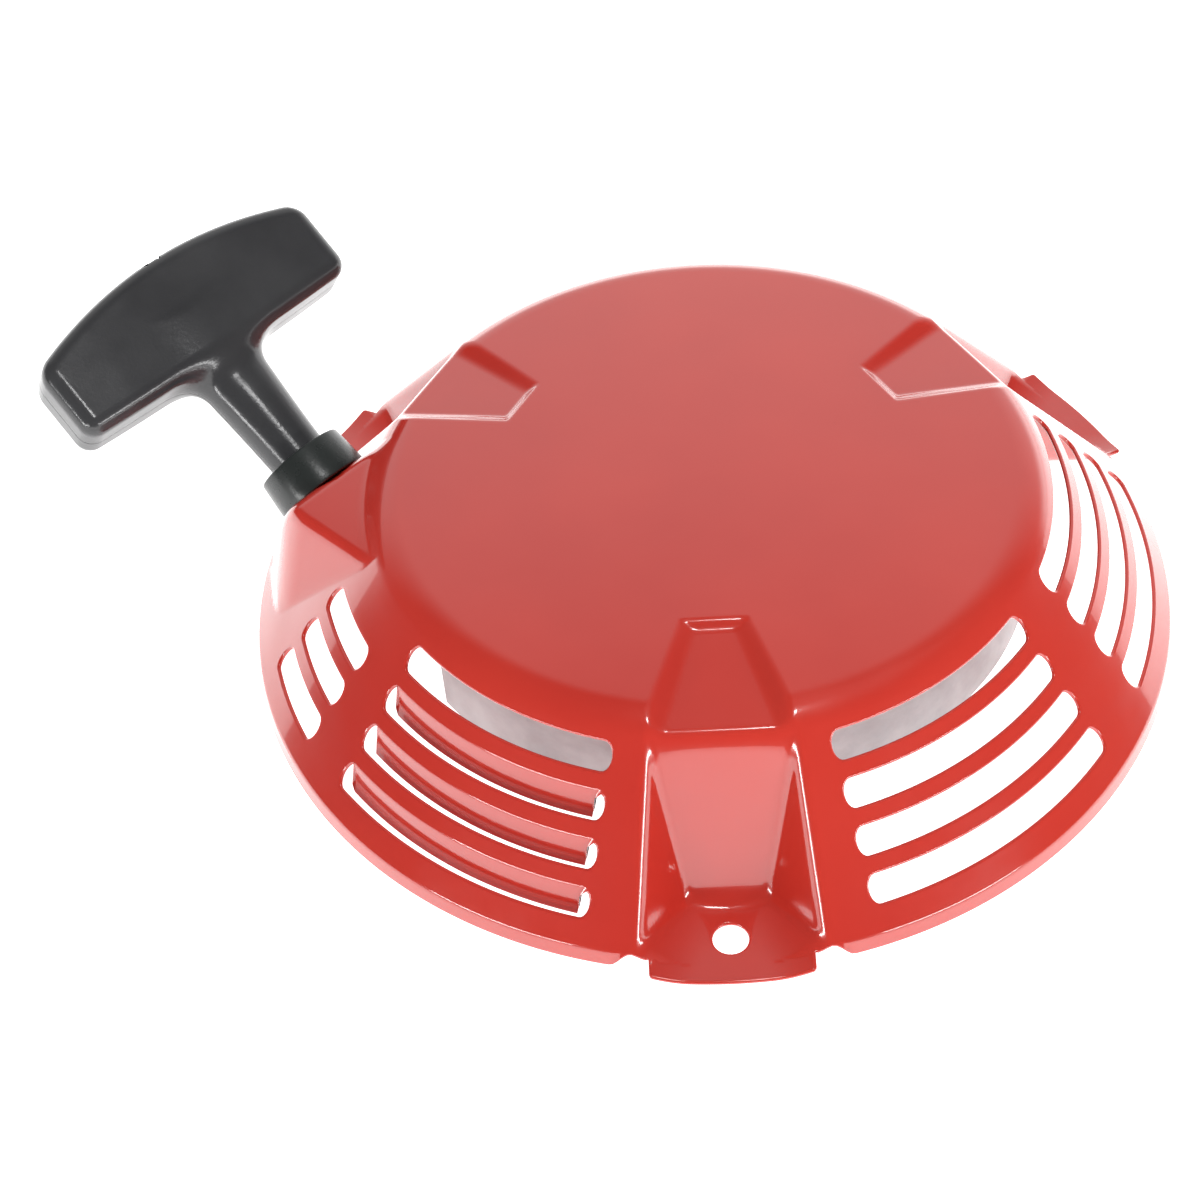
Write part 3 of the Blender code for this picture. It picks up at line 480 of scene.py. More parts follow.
def boss_planes():
    """Upper faces of the hull of the raised flat that the rope guide sits on."""
    half_wide, half_tall = 12.5, 11.0
    seat = [Vector(EXIT) + ACROSS * a * half_wide + UPWARD * b * half_tall for a in (-1, 1) for b in (-1, 1)]
    points = seat + [Vector(p) for p in ((-67.7, -18.0, 33.5), (-52.0, -20.0, 34.4), (-52.0, 20.0, 34.8),
                                         (-94.0, -9.0, 0.0), (-90.0, 25.0, 0.0), (-50.0, -25.0, 0.0),
                                         (-50.0, 40.0, 0.0))]
    bm = bmesh.new()
    made = bmesh.ops.convex_hull(bm, input=[bm.verts.new(p) for p in points])
    bm.normal_update()
    middle = sum(points, Vector()) / len(points)
    planes = {}
    for face in (g for g in made["geom"] if isinstance(g, bmesh.types.BMFace)):
        n, c = face.normal, face.calc_center_median()
        if n.dot(c - middle) < 0.0:
            n = -n
        if n.z > 0.05:
            a, b = -n.x / n.z, -n.y / n.z
            planes[(round(a, 1), round(b, 1))] = (a, b, c.z - a * c.x - b * c.y)
    bm.free()
    return list(planes.values())


RECESS_END, RECESS_FLOOR, RECESS_FALL = 44.2, 37.7, 0.122
RECESS_HALF, RECESS_FLARE, RECESS_END_SLOPE, RECESS_SIDE_SLOPE = 4.9, 0.295, 1.7, 1.1
BOSS_RISE, BOSS_FADE_R, BOSS_FADE_WIDTH, BOSS_FADE_DROP = 0.5, 91.5, 4.5, 8.0
PLATE_TOP = 1.0
BACK_WALL = plane((-5.0, 82.3, 1.0), (5.0, 82.3, 1.0), (0.0, 66.7, 38.0))
SIDE_WALL = plane((7.5, 82.3, 1.0), (14.3, 66.7, 38.0), (18.5, 96.0, 4.2))
SIDE_FOOT = plane((7.5, 82.3, 1.0), (15.2, 99.5, 1.0), (18.5, 96.0, 4.2))
BOSS = boss_planes()
BOSS_TOPS = [c for c in BOSS if abs(on_plane(c, *EXIT[:2]) - EXIT[2]) < 3.0 or math.hypot(c[0], c[1]) < 0.6]
BOSS_FLANKS = [c for c in BOSS if not any(c is top for top in BOSS_TOPS)]


def tab_local(x, y, angle):
    """Distance from a tab's middle line, and distance out from the axis along it."""
    a = math.radians(angle)
    return np.abs(x * math.sin(a) - y * math.cos(a)), x * math.cos(a) + y * math.sin(a)


def boss_height(x, y, r):
    """The rope guide's raised flat, which sinks into the cone just inside the rim."""
    boss = None
    for coefficients in BOSS_FLANKS:
        h = on_plane(coefficients, x, y)
        boss = h if boss is None else smooth_min(boss, h, 9.0)
    for coefficients in BOSS_TOPS:
        boss = smooth_min(boss, on_plane(coefficients, x, y), 4.0)
    return boss + BOSS_RISE - BOSS_FADE_DROP * fade((r - BOSS_FADE_R) / BOSS_FADE_WIDTH)


def tab_recesses(u, v):
    """The shallow recess in the dome's edge over a tab, and the deep one that ends in the tab's plate."""
    floor = RECESS_FLOOR - RECESS_FALL * (v - RECESS_END)
    half = RECESS_HALF + (v - RECESS_END) * RECESS_FLARE
    end = floor + RECESS_END_SLOPE * (RECESS_END - v)
    shallow = smooth_max(end, floor + RECESS_SIDE_SLOPE * (u - half), 1.0)
    shallow = smooth_max(shallow, floor, 2.0)
    deep = smooth_max(on_plane(SIDE_WALL, u, v), on_plane(SIDE_FOOT, u, v), 2.0)
    deep = smooth_max(deep, on_plane(BACK_WALL, u, v), 3.0)
    return shallow, smooth_max(deep, np.full_like(u, PLATE_TOP), 5.0)


def cover_height(x, y):
    r = np.hypot(x, y)
    z = smooth_max(base_height(r), boss_height(x, y, r), 2.6)
    for angle in TAB_ANGLES:
        u, v = tab_local(x, y, angle)
        shallow, deep = tab_recesses(u, v)
        here = v > 30.0
        z = np.where(here, smooth_min(z, shallow, 1.6), z)
        z = np.where(here, smooth_min(z, deep, 3.0), z)
    return z


def cover_normals(x, y):
    h = 0.02
    gx = (cover_height(x + h, y) - cover_height(x - h, y)) / (2.0 * h)
    gy = (cover_height(x, y + h) - cover_height(x, y - h)) / (2.0 * h)
    n = np.stack([-gx, -gy, np.ones_like(gx)], -1)
    return n / np.linalg.norm(n, axis=-1, keepdims=True)


# ---- cover: outline, slots and sheet ----
def slots():
    """(inner radius, outer radius, start, end, louvred) of every slot, angles in radians."""
    front, right, left = TAB_ANGLES
    near, far = SLOT_FULL
    groups = [(0, a + near, a + far, False) for a in (front, right)]
    groups += [(0, a - far, a - near, False) for a in (left, right)]
    groups.append((0, front - far, front - near, True))
    groups.append((1, front - SLOT_SHORT[1], front - SLOT_SHORT[0], False))
    made = []
    for first, start, end, louvred in groups:
        for k in range(first, 4):
            inner = SLOT_R0 + k * SLOT_PITCH
            made.append((inner, inner + SLOT_W, math.radians(start), math.radians(end), louvred and k > 0))
    return made


EDGE_ROOM = 0.38


def slot_loop(inner, outer, start, end):
    """Outline of a slot with round ends, widened so that its rolled edge comes out at the right size."""
    inner, outer = inner - EDGE_ROOM, outer + EDGE_ROOM
    mid, cap = (inner + outer) / 2.0, (outer - inner) / 2.0
    steps = max(6, int((end - start) * mid / 0.9))
    sweep = np.linspace(start, end, steps + 1)
    points = [(outer * math.cos(a), outer * math.sin(a)) for a in sweep]
    turn = np.linspace(0.0, math.pi, 11)[1:-1]
    centre = (mid * math.cos(end), mid * math.sin(end))
    points += [(centre[0] + cap * math.cos(t), centre[1] + cap * math.sin(t)) for t in turn + end]
    points += [(inner * math.cos(a), inner * math.sin(a)) for a in sweep[::-1]]
    centre = (mid * math.cos(start), mid * math.sin(start))
    turn = start + math.pi + turn
    points += [(centre[0] + cap * math.cos(t), centre[1] + cap * math.sin(t)) for t in turn]
    return np.array(points)


def outer_loop():
    """The rim's circle, stepping out round the three tab plates."""
    half_plate = math.asin(TAB_HALF / TAB_EDGE_R)
    half_foot = math.asin(TAB_HALF / FOOT_R)
    arc = [(PLATE_R * math.cos(t), PLATE_R * math.sin(t)) for t in np.linspace(-half_plate, half_plate, 37)]
    foot = FOOT_R * math.cos(half_foot)
    plate = rounded([(foot, -TAB_HALF), *arc, (foot, TAB_HALF)], 1.6, 4, closed=False)
    points = []
    for k, angle in enumerate(TAB_ANGLES):
        a = math.radians(angle)
        c, s = math.cos(a), math.sin(a)
        points += [(x * c - y * s, x * s + y * c) for x, y in plate]
        after = math.radians(TAB_ANGLES[(k + 1) % 3])
        if after < a:
            after += 2.0 * math.pi
        sweep = np.linspace(a + half_foot, after - half_foot, 190)[1:-1]
        points += [(FOOT_R * math.cos(t), FOOT_R * math.sin(t)) for t in sweep]
    return np.array(points)


def rope_hole_loop():
    """The round hole for the rope guide, seen from above."""
    hole = [math.cos(t) * np.array(ACROSS) + math.sin(t) * np.array(UPWARD)
            for t in np.arange(32) * 2.0 * math.pi / 32]
    return np.array([(EXIT + ROPE_HOLE_R * p)[:2] for p in hole])


def in_slot(x, y, slot, room):
    """True where the point is inside the slot widened by room."""
    inner, outer, start, end, _ = slot
    mid, half = (inner + outer) / 2.0, (outer - inner) / 2.0
    centre = (start + end) / 2.0
    a = (np.arctan2(y, x) - centre + math.pi) % (2.0 * math.pi) - math.pi
    a = np.clip(a, start - centre, end - centre) + centre
    return np.hypot(x - mid * np.cos(a), y - mid * np.sin(a)) < half + room


def cover_grid():
    """Plan points of the cover, close where its surface bends and far apart where it is plain."""
    step, reach, clear, slight, strong = 0.55, 184, 0.45, 0.006, 0.035
    index = np.arange(-reach, reach + 1)
    gi, gj = (g.ravel() for g in np.meshgrid(index, index))
    x, y = gi * step + 0.013, gj * step + 0.017
    side = len(index)
    z = cover_height(x, y).reshape(side, side)
    bend = sum(np.abs(np.roll(z, -1, axis) + np.roll(z, 1, axis) - 2 * z) for axis in (0, 1))
    for _ in range(2):
        bend = np.maximum.reduce([bend] + [np.roll(bend, way, axis) for way in (1, -1) for axis in (0, 1)])
    bend = bend.ravel()
    keep = (gi % 4 == 0) & (gj % 4 == 0)
    keep |= (gi % 2 == 0) & (gj % 2 == 0) & (bend > slight)
    keep |= bend > strong
    r = np.hypot(x, y)
    inside = r < FOOT_R - clear
    for angle in TAB_ANGLES:
        u, v = tab_local(x, y, angle)
        inside |= (u < TAB_HALF - clear) & (r < PLATE_R - clear) & (v > 0.0)
        inside &= np.hypot(u, v - TAB_HOLE_PCR) > HOLE_LOOP_R + 0.3
    for slot in slots():
        inside &= ~in_slot(x, y, slot, EDGE_ROOM + 0.42)
    centre = rope_hole_loop().mean(0)
    inside &= np.hypot(x - centre[0], y - centre[1]) > ROPE_HOLE_R + 0.8
    keep &= inside
    return np.stack([x[keep], y[keep]], -1)


LIP_BEND, LIP_BEND_R, LIP_DEPTH = math.radians(26.0), 1.2, 6.0
RIM_BEND, RIM_BEND_R, RIM_DEPTH = math.radians(27.0), 1.5, 2.3


def edge_profile(p, n, d, bend, bend_r, depth, lipped):
    """Points and normals round a sheet's edge, from its outside to its inside.

    p, n and d are the edge's point, its normal and its way out. With a lip, the sheet first bends and then
    runs straight on. It ends in a half round.
    """
    half = SHEET / 2.0
    middle = p - n * half

    def at(angle, shift):
        ahead = d * math.cos(angle) - n * math.sin(angle)
        centre = middle + d * (bend_r * math.sin(angle)) - n * (bend_r * (1.0 - math.cos(angle)))
        return centre + ahead * shift, n * math.cos(angle) + d * math.sin(angle), ahead
    stations = [(bend * share, 0.0) for share in (0.25, 0.5, 0.75, 1.0)] + [(bend, depth)] if lipped else []
    sections = [at(*station)[:2] for station in stations]
    outward = [(centre + up * half, up) for centre, up in sections]
    inward = [(centre - up * half, -up) for centre, up in sections]
    centre, up, ahead = at(bend, depth)
    facing = [up * math.cos(t) + ahead * math.sin(t) for t in (math.pi * k / 6.0 for k in range(1, 6))]
    return outward + [(centre + way * half, way) for way in facing] + inward[::-1]


def cover_loops():
    """(plan points, kind of edge, sign of the way out) of each of the cover's edges."""
    loops = [(outer_loop(), "rim", 1.0)]
    loops += [(slot_loop(*slot[:4]), slot if slot[4] else None, -1.0) for slot in slots()]
    for a in (math.radians(angle) for angle in TAB_ANGLES):
        hole = circle(TAB_HOLE_PCR * math.cos(a), TAB_HOLE_PCR * math.sin(a), HOLE_LOOP_R, 36)
        loops.append((hole, None, -1.0))
    return loops + [(rope_hole_loop(), None, -1.0)]


def on_sheet(x, y):
    """True where the plan point is on the cover's sheet."""
    r = np.hypot(x, y)
    on = r < FOOT_R - 0.002
    for angle in TAB_ANGLES:
        u, v = tab_local(x, y, angle)
        on |= (u < TAB_HALF) & (v > 60.0) & (r < PLATE_R)
        on &= np.hypot(u, v - TAB_HOLE_PCR) > HOLE_LOOP_R
    for slot in slots():
        on &= ~in_slot(x, y, slot, EDGE_ROOM - 1e-3)
    hole = rope_hole_loop()
    spokes = hole - hole.mean(0)
    spread = np.linalg.inv(spokes.T @ spokes / len(spokes) * 2.0)
    off = np.stack([x, y], -1) - hole.mean(0)
    return on & (np.einsum("ij,jk,ik->i", off, spread, off) > 0.99)


def cover_sheet(loops):
    """Plan points and triangles of the sheet, and for each loop the indices of its points."""
    plan = [tuple(p) for p in cover_grid()]
    edges, rings = [], []
    for points, _, _ in loops:
        ring = list(range(len(plan), len(plan) + len(points)))
        plan += [tuple(p) for p in points]
        rings.append(ring)
        edges += list(zip(ring, ring[1:] + ring[:1]))
    verts, _, faces, origin, _, _ = delaunay_2d_cdt([Vector(p) for p in plan], edges, [], 0, 1e-5, True)
    where = np.zeros(len(plan), int)
    for new, old in enumerate(origin):
        for k in old:
            where[k] = new
    xy = np.array([tuple(v) for v in verts])
    tri = np.array([f for f in faces if len(f) == 3])
    tri = tri[on_sheet(*xy[tri].mean(1).T)]
    area = np.cross(xy[tri[:, 1]] - xy[tri[:, 0]], xy[tri[:, 2]] - xy[tri[:, 0]])
    tri[area < 0] = tri[area < 0][:, ::-1]
    return xy, tri, [where[ring] for ring in rings]


def edge_shape(kind, p):
    """Bend, bend radius and lip length at each point of an edge. They fade out by tabs and at slot ends."""
    if kind is None:
        return np.zeros((3, len(p)))
    if kind == "rim":
        weight = np.ones(len(p))
        for angle in TAB_ANGLES:
            u, v = tab_local(p[:, 0], p[:, 1], angle)
            weight = np.where(v > 0.0, np.minimum(weight, fade((u - 19.0) / 4.0)), weight)
        return np.outer((RIM_BEND, RIM_BEND_R, RIM_DEPTH), weight)
    inner, _, start, end, _ = kind
    r = np.hypot(p[:, 0], p[:, 1])
    turn = (np.arctan2(p[:, 1], p[:, 0]) - start) % (2.0 * math.pi)
    room = np.minimum(turn, end - start - turn) * r
    weight = fade((room + 1.6) / 2.4) * fade(1.0 - (r - inner) / 1.4)
    return np.outer((LIP_BEND, LIP_BEND_R, LIP_DEPTH), weight)


def make_cover():
    """Outer and inner face of the sheet, joined round every edge by that edge's profile."""
    loops = cover_loops()
    xy, tri, rings = cover_sheet(loops)
    n = cover_normals(*xy.T)
    top = np.column_stack([xy, cover_height(*xy.T)])
    count = len(top)
    points, normals = [top, top - n * SHEET], [n, -n]
    faces = [tuple(t) for t in tri.tolist()] + [tuple(t[::-1]) for t in (tri + count).tolist()]
    total = 2 * count
    for (_, kind, sign), ids in zip(loops, rings):
        p, up = top[ids], n[ids]
        out = np.cross(np.roll(p, -1, 0) - np.roll(p, 1, 0), up) * sign
        out /= np.linalg.norm(out, axis=1, keepdims=True)
        rows = [edge_profile(*place, kind is not None) for place in zip(p, up, out, *edge_shape(kind, p))]
        size = len(rows[0])
        points.append(np.array([q for row in rows for q, _ in row]))
        normals.append(np.array([m for row in rows for _, m in row]))
        strips = [[int(i), *range(total + k * size, total + (k + 1) * size), int(i) + count]
                  for k, i in enumerate(ids)]
        for here, there in zip(strips, strips[1:] + strips[:1]):
            for j in range(size + 1):
                face = (here[j], here[j + 1], there[j + 1], there[j])
                faces.append(face if sign > 0 else face[::-1])
        total += len(ids) * size
    obj = mesh_object("painted_cover", np.vstack(points), faces, np.vstack(normals))
    place_piece(obj, "cover")


make_cover()


# ---- grip: a smooth union of a bowed bar and a tapering stem ----
def surface_net(field, low, high, step):
    """Quads round the zero level of a field over a box, with points drawn onto the surface."""
    axes = [np.arange(a, b + step, step) for a, b in zip(low, high)]
    grid = np.stack(np.meshgrid(*axes, indexing="ij"), -1)
    value = field(grid)
    inside = value < 0.0
    size = np.array(value.shape) - 1
    corners = np.zeros(tuple(size), int)
    for i, j, k in np.ndindex(2, 2, 2):
        corners += inside[i:size[0] + i, j:size[1] + j, k:size[2] + k]
    active = (corners > 0) & (corners < 8)
    ids = np.full(tuple(size), -1)
    cells = np.argwhere(active)
    ids[active] = np.arange(len(cells))
    points = np.array([axes[a][cells[:, a]] + step / 2.0 for a in range(3)]).T
    faces = []
    unit = np.eye(3, dtype=int)
    for axis in range(3):
        b, c = (axis + 1) % 3, (axis + 2) % 3
        for cell in np.argwhere(np.diff(inside, axis=axis)):
            if cell[b] == 0 or cell[c] == 0 or cell[b] >= size[b] or cell[c] >= size[c]:
                continue
            quad = [int(ids[tuple(cell - db * unit[b] - dc * unit[c])])
                    for db, dc in ((0, 0), (1, 0), (1, 1), (0, 1))]
            faces.append(tuple(quad if inside[tuple(cell)] else quad[::-1]))

    def gradient(at, h=0.05):
        shifts = h * np.eye(3)
        return np.stack([field(at + shift) - field(at - shift) for shift in shifts], -1) / (2.0 * h)
    for _ in range(6):
        g = gradient(points)
        points = points - g * (field(points) / np.maximum((g * g).sum(-1), 0.2))[:, None]
    g = gradient(points)
    return points, faces, g / np.linalg.norm(g, axis=-1, keepdims=True)


STEM_START, STEM_R, STEM_LENGTH = 3.5, 6.3, 31.0
BORE_R, KNOT_R, KNOT_FLOOR = 2.8, 6.2, 48.5


def grip_field(p):
    """Distance-like field of the grip in the frame of the rope's exit: x across, y down, z along the rope."""
    x, y, z = p[..., 0], p[..., 1], p[..., 2]
    # The bar is deepest and thickest in the middle, and its ends bow back towards the rope.
    share = np.clip(np.abs(x) / GRIP_HALF, 0.0, 1.2)
    depth = 12.7 - 3.7 * share ** 2
    thick = 8.3 - 1.0 * share ** 2
    shift = 1.2 - 3.0 * share ** 2
    corner = 3.6
    qx = np.abs(x) - (GRIP_HALF - corner)
    qz = np.abs(z - GRIP_CENTRE - shift) - (depth - corner)
    qy = np.abs(y) - (thick - corner)
    outside = np.sqrt(np.maximum(qx, 0.0) ** 2 + np.maximum(qy, 0.0) ** 2 + np.maximum(qz, 0.0) ** 2)
    bar = outside + np.minimum(np.maximum(np.maximum(qx, qy), qz), 0.0) - corner
    # The stem widens towards the bar, and holds the rope's bore and the hollow for its knot.
    t = np.clip((z - STEM_START) / STEM_LENGTH, 0.0, 1.0)
    wide = STEM_R + 1.9 * t ** 1.5
    tall = STEM_R + 0.5 * t - 0.6 * fade((z - 26.0) / 12.0)
    stem = (np.hypot(x / wide, y / tall) - 1.0) * np.minimum(wide, tall)
    stem = smooth_max(stem, STEM_START - z, 1.2)
    stem = smooth_max(stem, z - 44.0, 1.0)
    body = smooth_min(bar, stem, 6.0)
    radius = np.hypot(x, y)
    bore = np.minimum(radius - BORE_R, smooth_max(radius - KNOT_R, KNOT_FLOOR - z, 0.6))
    return smooth_max(body, -bore, 0.5)


def make_grip():
    points, faces, normals = surface_net(grip_field, (-37.0, -10.5, 2.0), (37.0, 10.5, 62.5), 0.75)
    normals = normals @ np.array(EXIT_FRAME.to_3x3()).T
    obj = mesh_object("moulded_grip", moved(points, EXIT_FRAME), faces, normals)
    place_piece(obj, "handle_grip")


make_grip()

# ---- rope guide ----
collar = [(4.6, -10.0), (6.0, -10.0), (6.0, -8.0), (5.2, -7.0), (5.2, 0.3), (10.5, 0.3), (10.4, 2.2),
          (9.8, 9.0), (7.5, 9.0), (7.3, 3.0), (3.3, 2.2), (3.3, -4.0), (4.6, -4.5)]
add_lathe("moulded_guide", "rope_guide", collar, 96, 0.5, EXIT_FRAME)
eyelet = [(2.7, -10.8), (3.6, -11.2), (4.3, -10.6), (4.3, -5.0), (2.7, -5.0)]
add_lathe("flared_eyelet", "rope_eyelet", eyelet, 64, 0.35, EXIT_FRAME)


# ---- plated housing ----
def make_housing():
    """Domed pressing, with a window for the rope that is open at the wall's foot."""
    outline = [(7.3, 38.2), (33.0, 38.2), (60.0, 33.5), (65.5, 31.5), (HOUSING_R, WALL_HEAD + 0.5)]
    outline = rounded(outline, 2.2, 4, closed=False)
    wall = [(HOUSING_R, WALL_HEAD), (HOUSING_R, WALL_FOOT)]
    wall += [(WALL_INNER_R, WALL_FOOT), (WALL_INNER_R, WALL_HEAD)]
    outline += rounded(wall, 0.3, closed=False)
    outline += rounded([wall[-1], (65.0, 30.5), (59.7, 32.5), (32.6, 37.2), (7.3, 37.2)], 2.0, 4,
                       closed=False)[1:]
    segments, first, last = 180, 85, 108
    top = [k for k, (_, z) in enumerate(outline) if z == WALL_HEAD]
    points, faces = turned(outline, segments, skip=lambda k, a: top[0] <= k < top[1] and first <= a < last)
    for k in range(first, last):
        faces.append(tuple(row * segments + a for row, a in
                           ((top[0], k), (top[0], k + 1), (top[1], k + 1), (top[1], k))))
    for k in (first, last):
        faces.append(tuple(row * segments + k for row in range(top[0], top[1] + 1)))
    add_piece("plated_housing", "reel_housing", (points, faces))


make_housing()
post = [(3.3, 6.8), (7.0, 6.8), (7.0, 34.5), (14.0, 34.5), (14.0, 36.9), (3.3, 36.9)]
add_lathe("turned_post", "centre_post", post, 72, 0.4)
washer = [(3.4, 5.3), (13.0, 5.3), (13.0, 6.5), (3.4, 6.5)]
add_lathe("stamped_washer", "thrust_washer", washer, 96, 0.3)


# ---- flat parts with holes ----
def inset(loop, amount):
    """The loop moved towards its own left, which is into the material."""
    loop = np.asarray(loop, float)
    ahead = np.roll(loop, -1, 0) - loop
    ahead /= np.linalg.norm(ahead, axis=1, keepdims=True)
    side = np.stack([-ahead[:, 1], ahead[:, 0]], -1)
    both = side + np.roll(side, 1, 0)
    both /= np.maximum((both * both).sum(1, keepdims=True) / 2.0, 0.5)
    return loop + both * amount


def plate_parts(loops, low, high, chamfer, matrix=None):
    """Points and faces of a chamfered plate. Its outline runs anticlockwise, and its holes clockwise."""
    rows = [(low, chamfer), (low + chamfer, 0.0), (high - chamfer, 0.0), (high, chamfer)]
    points, faces, starts = [], [], []
    for loop in loops:
        count = len(loop)
        start = len(points)
        starts.append(start)
        for z, amount in rows:
            points += [(x, y, z) for x, y in inset(loop, amount)]
        for k in range(3):
            for a in range(count):
                b = (a + 1) % count
                faces.append((start + k * count + a, start + k * count + b,
                              start + (k + 1) * count + b, start + (k + 1) * count + a))
    for row in (0, 3):
        ids = [start + row * len(loop) + a for start, loop in zip(starts, loops) for a in range(len(loop))]
        flat = [[Vector(points[start + row * len(loop) + a]) for a in range(len(loop))]
                for start, loop in zip(starts, loops)]
        for tri in tessellate_polygon(flat):
            faces.append(tuple(ids[k] for k in tri))
    return moved(np.array(points, float), matrix), faces


def peg_slot(angle):
    """Slot in the control plate along which a pawl's peg moves."""
    half_width, steps = 1.9, 8
    path = []
    for k in range(steps + 1):
        share = k / steps
        swung = about_z(-PAWL_SWING * share) @ Vector((PEG_X, PEG_Y, 0.0)) + Vector((PAWL_PIN_PCR, 0.0, 0.0))
        path.append((about_z(angle - GUIDE_LAG * share) @ swung).to_2d())
    loop = []
    for line in (path, path[::-1]):
        for k, p in enumerate(line):
            ahead = (line[min(k + 1, steps)] - line[max(k - 1, 0)]).normalized()
            left = Vector((-ahead.y, ahead.x))
            loop.append(p + left * half_width)
        for t in (math.radians(a) for a in (45.0, 0.0, -45.0)):
            loop.append(line[-1] + ahead * (half_width * math.cos(t)) + left * (half_width * math.sin(t)))
    return np.array([tuple(p) for p in loop])


def notched_circle(radius, count, notches):
    """Anticlockwise circle with loops, in order of angle, that cut into it from outside."""
    cuts, outline = [], []
    for loop in notches:
        inside = np.hypot(*loop.T) < radius
        first = next(k for k in range(len(loop)) if inside[k] and not inside[k - 1])
        loop = np.roll(loop, 1 - first, 0)[:inside.sum() + 2]
        for end, near in ((0, 1), (-1, -2)):
            r, r_near = np.hypot(*loop[end]), np.hypot(*loop[near])
            loop[end] = loop[near] + (loop[end] - loop[near]) * (radius - r_near) / (r - r_near)
        ahead = loop[0][0] * loop[-1][1] - loop[0][1] * loop[-1][0]
        cuts.append(loop if ahead > 0.0 else loop[::-1])
    for cut, after in zip(cuts, cuts[1:] + cuts[:1]):
        start, end = (math.atan2(p[1], p[0]) for p in (cut[-1], after[0]))
        sweep = np.linspace(start, end + (2.0 * math.pi if end < start else 0.0), count)[1:-1]
        outline += [*cut, *np.stack([radius * np.cos(sweep), radius * np.sin(sweep)], -1)]
    return np.array(outline)


guide_loops = [notched_circle(31.0, 60, [peg_slot(a) for a in PAWL_ANGLES]), circle(0, 0, 7.4, 64, True)]
add_piece("stamped_ratchet_guide", "ratchet_guide", plate_parts(guide_loops, 9.0, 10.5, 0.2))


# ---- pawls with their pegs, pins and springs ----
def helix(radius, low, pitch, turns, steps):
    """Points along a wound wire that rises from low by pitch a turn."""
    return [Vector((radius * math.cos(a), radius * math.sin(a), low + pitch * a / (2.0 * math.pi)))
            for a in np.linspace(0.0, 2.0 * math.pi * turns, steps + 1)]


PAWL = [(-5.2, 0.0), (-4.5, -2.6), (-2.6, -4.5), (0.0, -5.2), (2.6, -4.5), (4.5, -2.6), (5.2, 0.0),
        (5.6, 6.0), (7.8, 12.5), (9.2, 16.5), (7.0, 17.5), (1.0, 15.0), (-3.2, 9.5)]
for number, angle in enumerate(PAWL_ANGLES, 1):
    place = about_z(angle) @ Matrix.Translation((PAWL_PIN_PCR, 0.0, 0.0))
    body = plate_parts([rounded(PAWL, 1.2), circle(0, 0, 2.7, 40, True)], 11.0, 13.8, 0.22, place)
    peg = rounded([(0.0, 8.5), (1.2, 8.5), (1.2, 11.4), (0.0, 11.4)], 0.3, closed=False)
    peg = turned(peg, 32, place @ Matrix.Translation((PEG_X, PEG_Y, 0.0)), closed=False)
    add_piece(f"forged_pawl_{number}", f"pawl_{number}", join_parts([body, peg]))
    pin = rounded([(0.0, 10.9), (2.5, 10.9), (2.5, 15.7), (0.0, 15.7)], 0.5, 4, closed=False)
    add_piece(f"turned_pawl_pin_{number}", f"pawl_pin_{number}", turned(pin, 40, place, closed=False))
    wire = [place @ p for p in helix(3.6, 14.5, 0.9, 7.0 / 6.0, 70) + [Vector((-1.4, PEG_Y, 15.5))]]
    add_piece(f"wound_pawl_spring_{number}", f"pawl_spring_{number}", tube_points(wire, 0.35, 12))

add_piece("wound_friction_spring", "friction_spring", tube_points(helix(10.0, 7.2, 0.6, 2.0, 120), 0.3, 12))

# ---- centre screw with a hexagon head ----
head = plate_parts([rounded(circle(0, 0, 6.5, 6), 0.5)], 0.0, 4.2, 0.45)
shank = [(0.0, 3.5), (8.2, 3.5), (8.2, 5.0), (3.0, 5.0), (3.0, 24.0), (0.0, 24.0)]
shank = turned(rounded(shank, 0.4, closed=False), 72, closed=False)
add_piece("flanged_centre_screw", "centre_screw", join_parts([head, shank]))


# ---- reel with stiffening ribs, and the rope wound on it ----
def make_reel():
    low, high, count = 15.05, 16.3, 24
    outline = [(9.1, 12.5), (12.5, 12.5), (12.5, 16.0), (56.0, 16.0), (59.0, 15.0), (63.0, 15.0),
               (63.0, 16.4), (50.0, 17.0), (50.0, 27.0), (63.0, 27.6), (63.0, 29.0), (46.5, 29.0),
               (46.5, 18.5), (12.5, 18.5), (12.5, 30.5), (9.1, 30.5)]
    parts = [turned(rounded(outline, 0.7), 144)]
    rib = rounded([(37.5, -0.7), (56.5, -0.7), (56.5, 0.7), (37.5, 0.7)], 0.4, 2)
    parts += [plate_parts([rib], low, high, 0.25, about_z((k + 0.5) * 360.0 / count)) for k in range(count)]
    parts.append(turned(rounded([(34.2, low), (36.0, low), (36.0, high), (34.2, high)], 0.3, 2), 144))
    add_piece("ribbed_reel", "reel", join_parts(parts))


make_reel()


def rope_piece(name, paths, radius, closed_ends=True, stretch=1.0):
    """Round rope along paths, with strand coordinates: turns round it, and millimetres along it."""
    sides, parts, strands = 24, [], []
    for path in paths:
        points, faces = tube_points(path, radius, sides, closed_ends)
        length = np.cumsum([0.0] + [(Vector(q) - Vector(p)).length for p, q in zip(path, path[1:])])
        for face in faces:
            wraps = len(face) == 4 and {v % sides for v in face} == {0, sides - 1}
            for v in face:
                a = v % sides + (sides if wraps and v % sides == 0 else 0)
                strands.append((a / sides, length[v // sides] * stretch))
        parts.append((points, faces))
    piece = mesh_object(name, *join_parts(parts))
    layer = piece.data.uv_layers.new(name="strands")
    layer.data.foreach_set("uv", np.array(strands, float).ravel())
    return clean(piece)


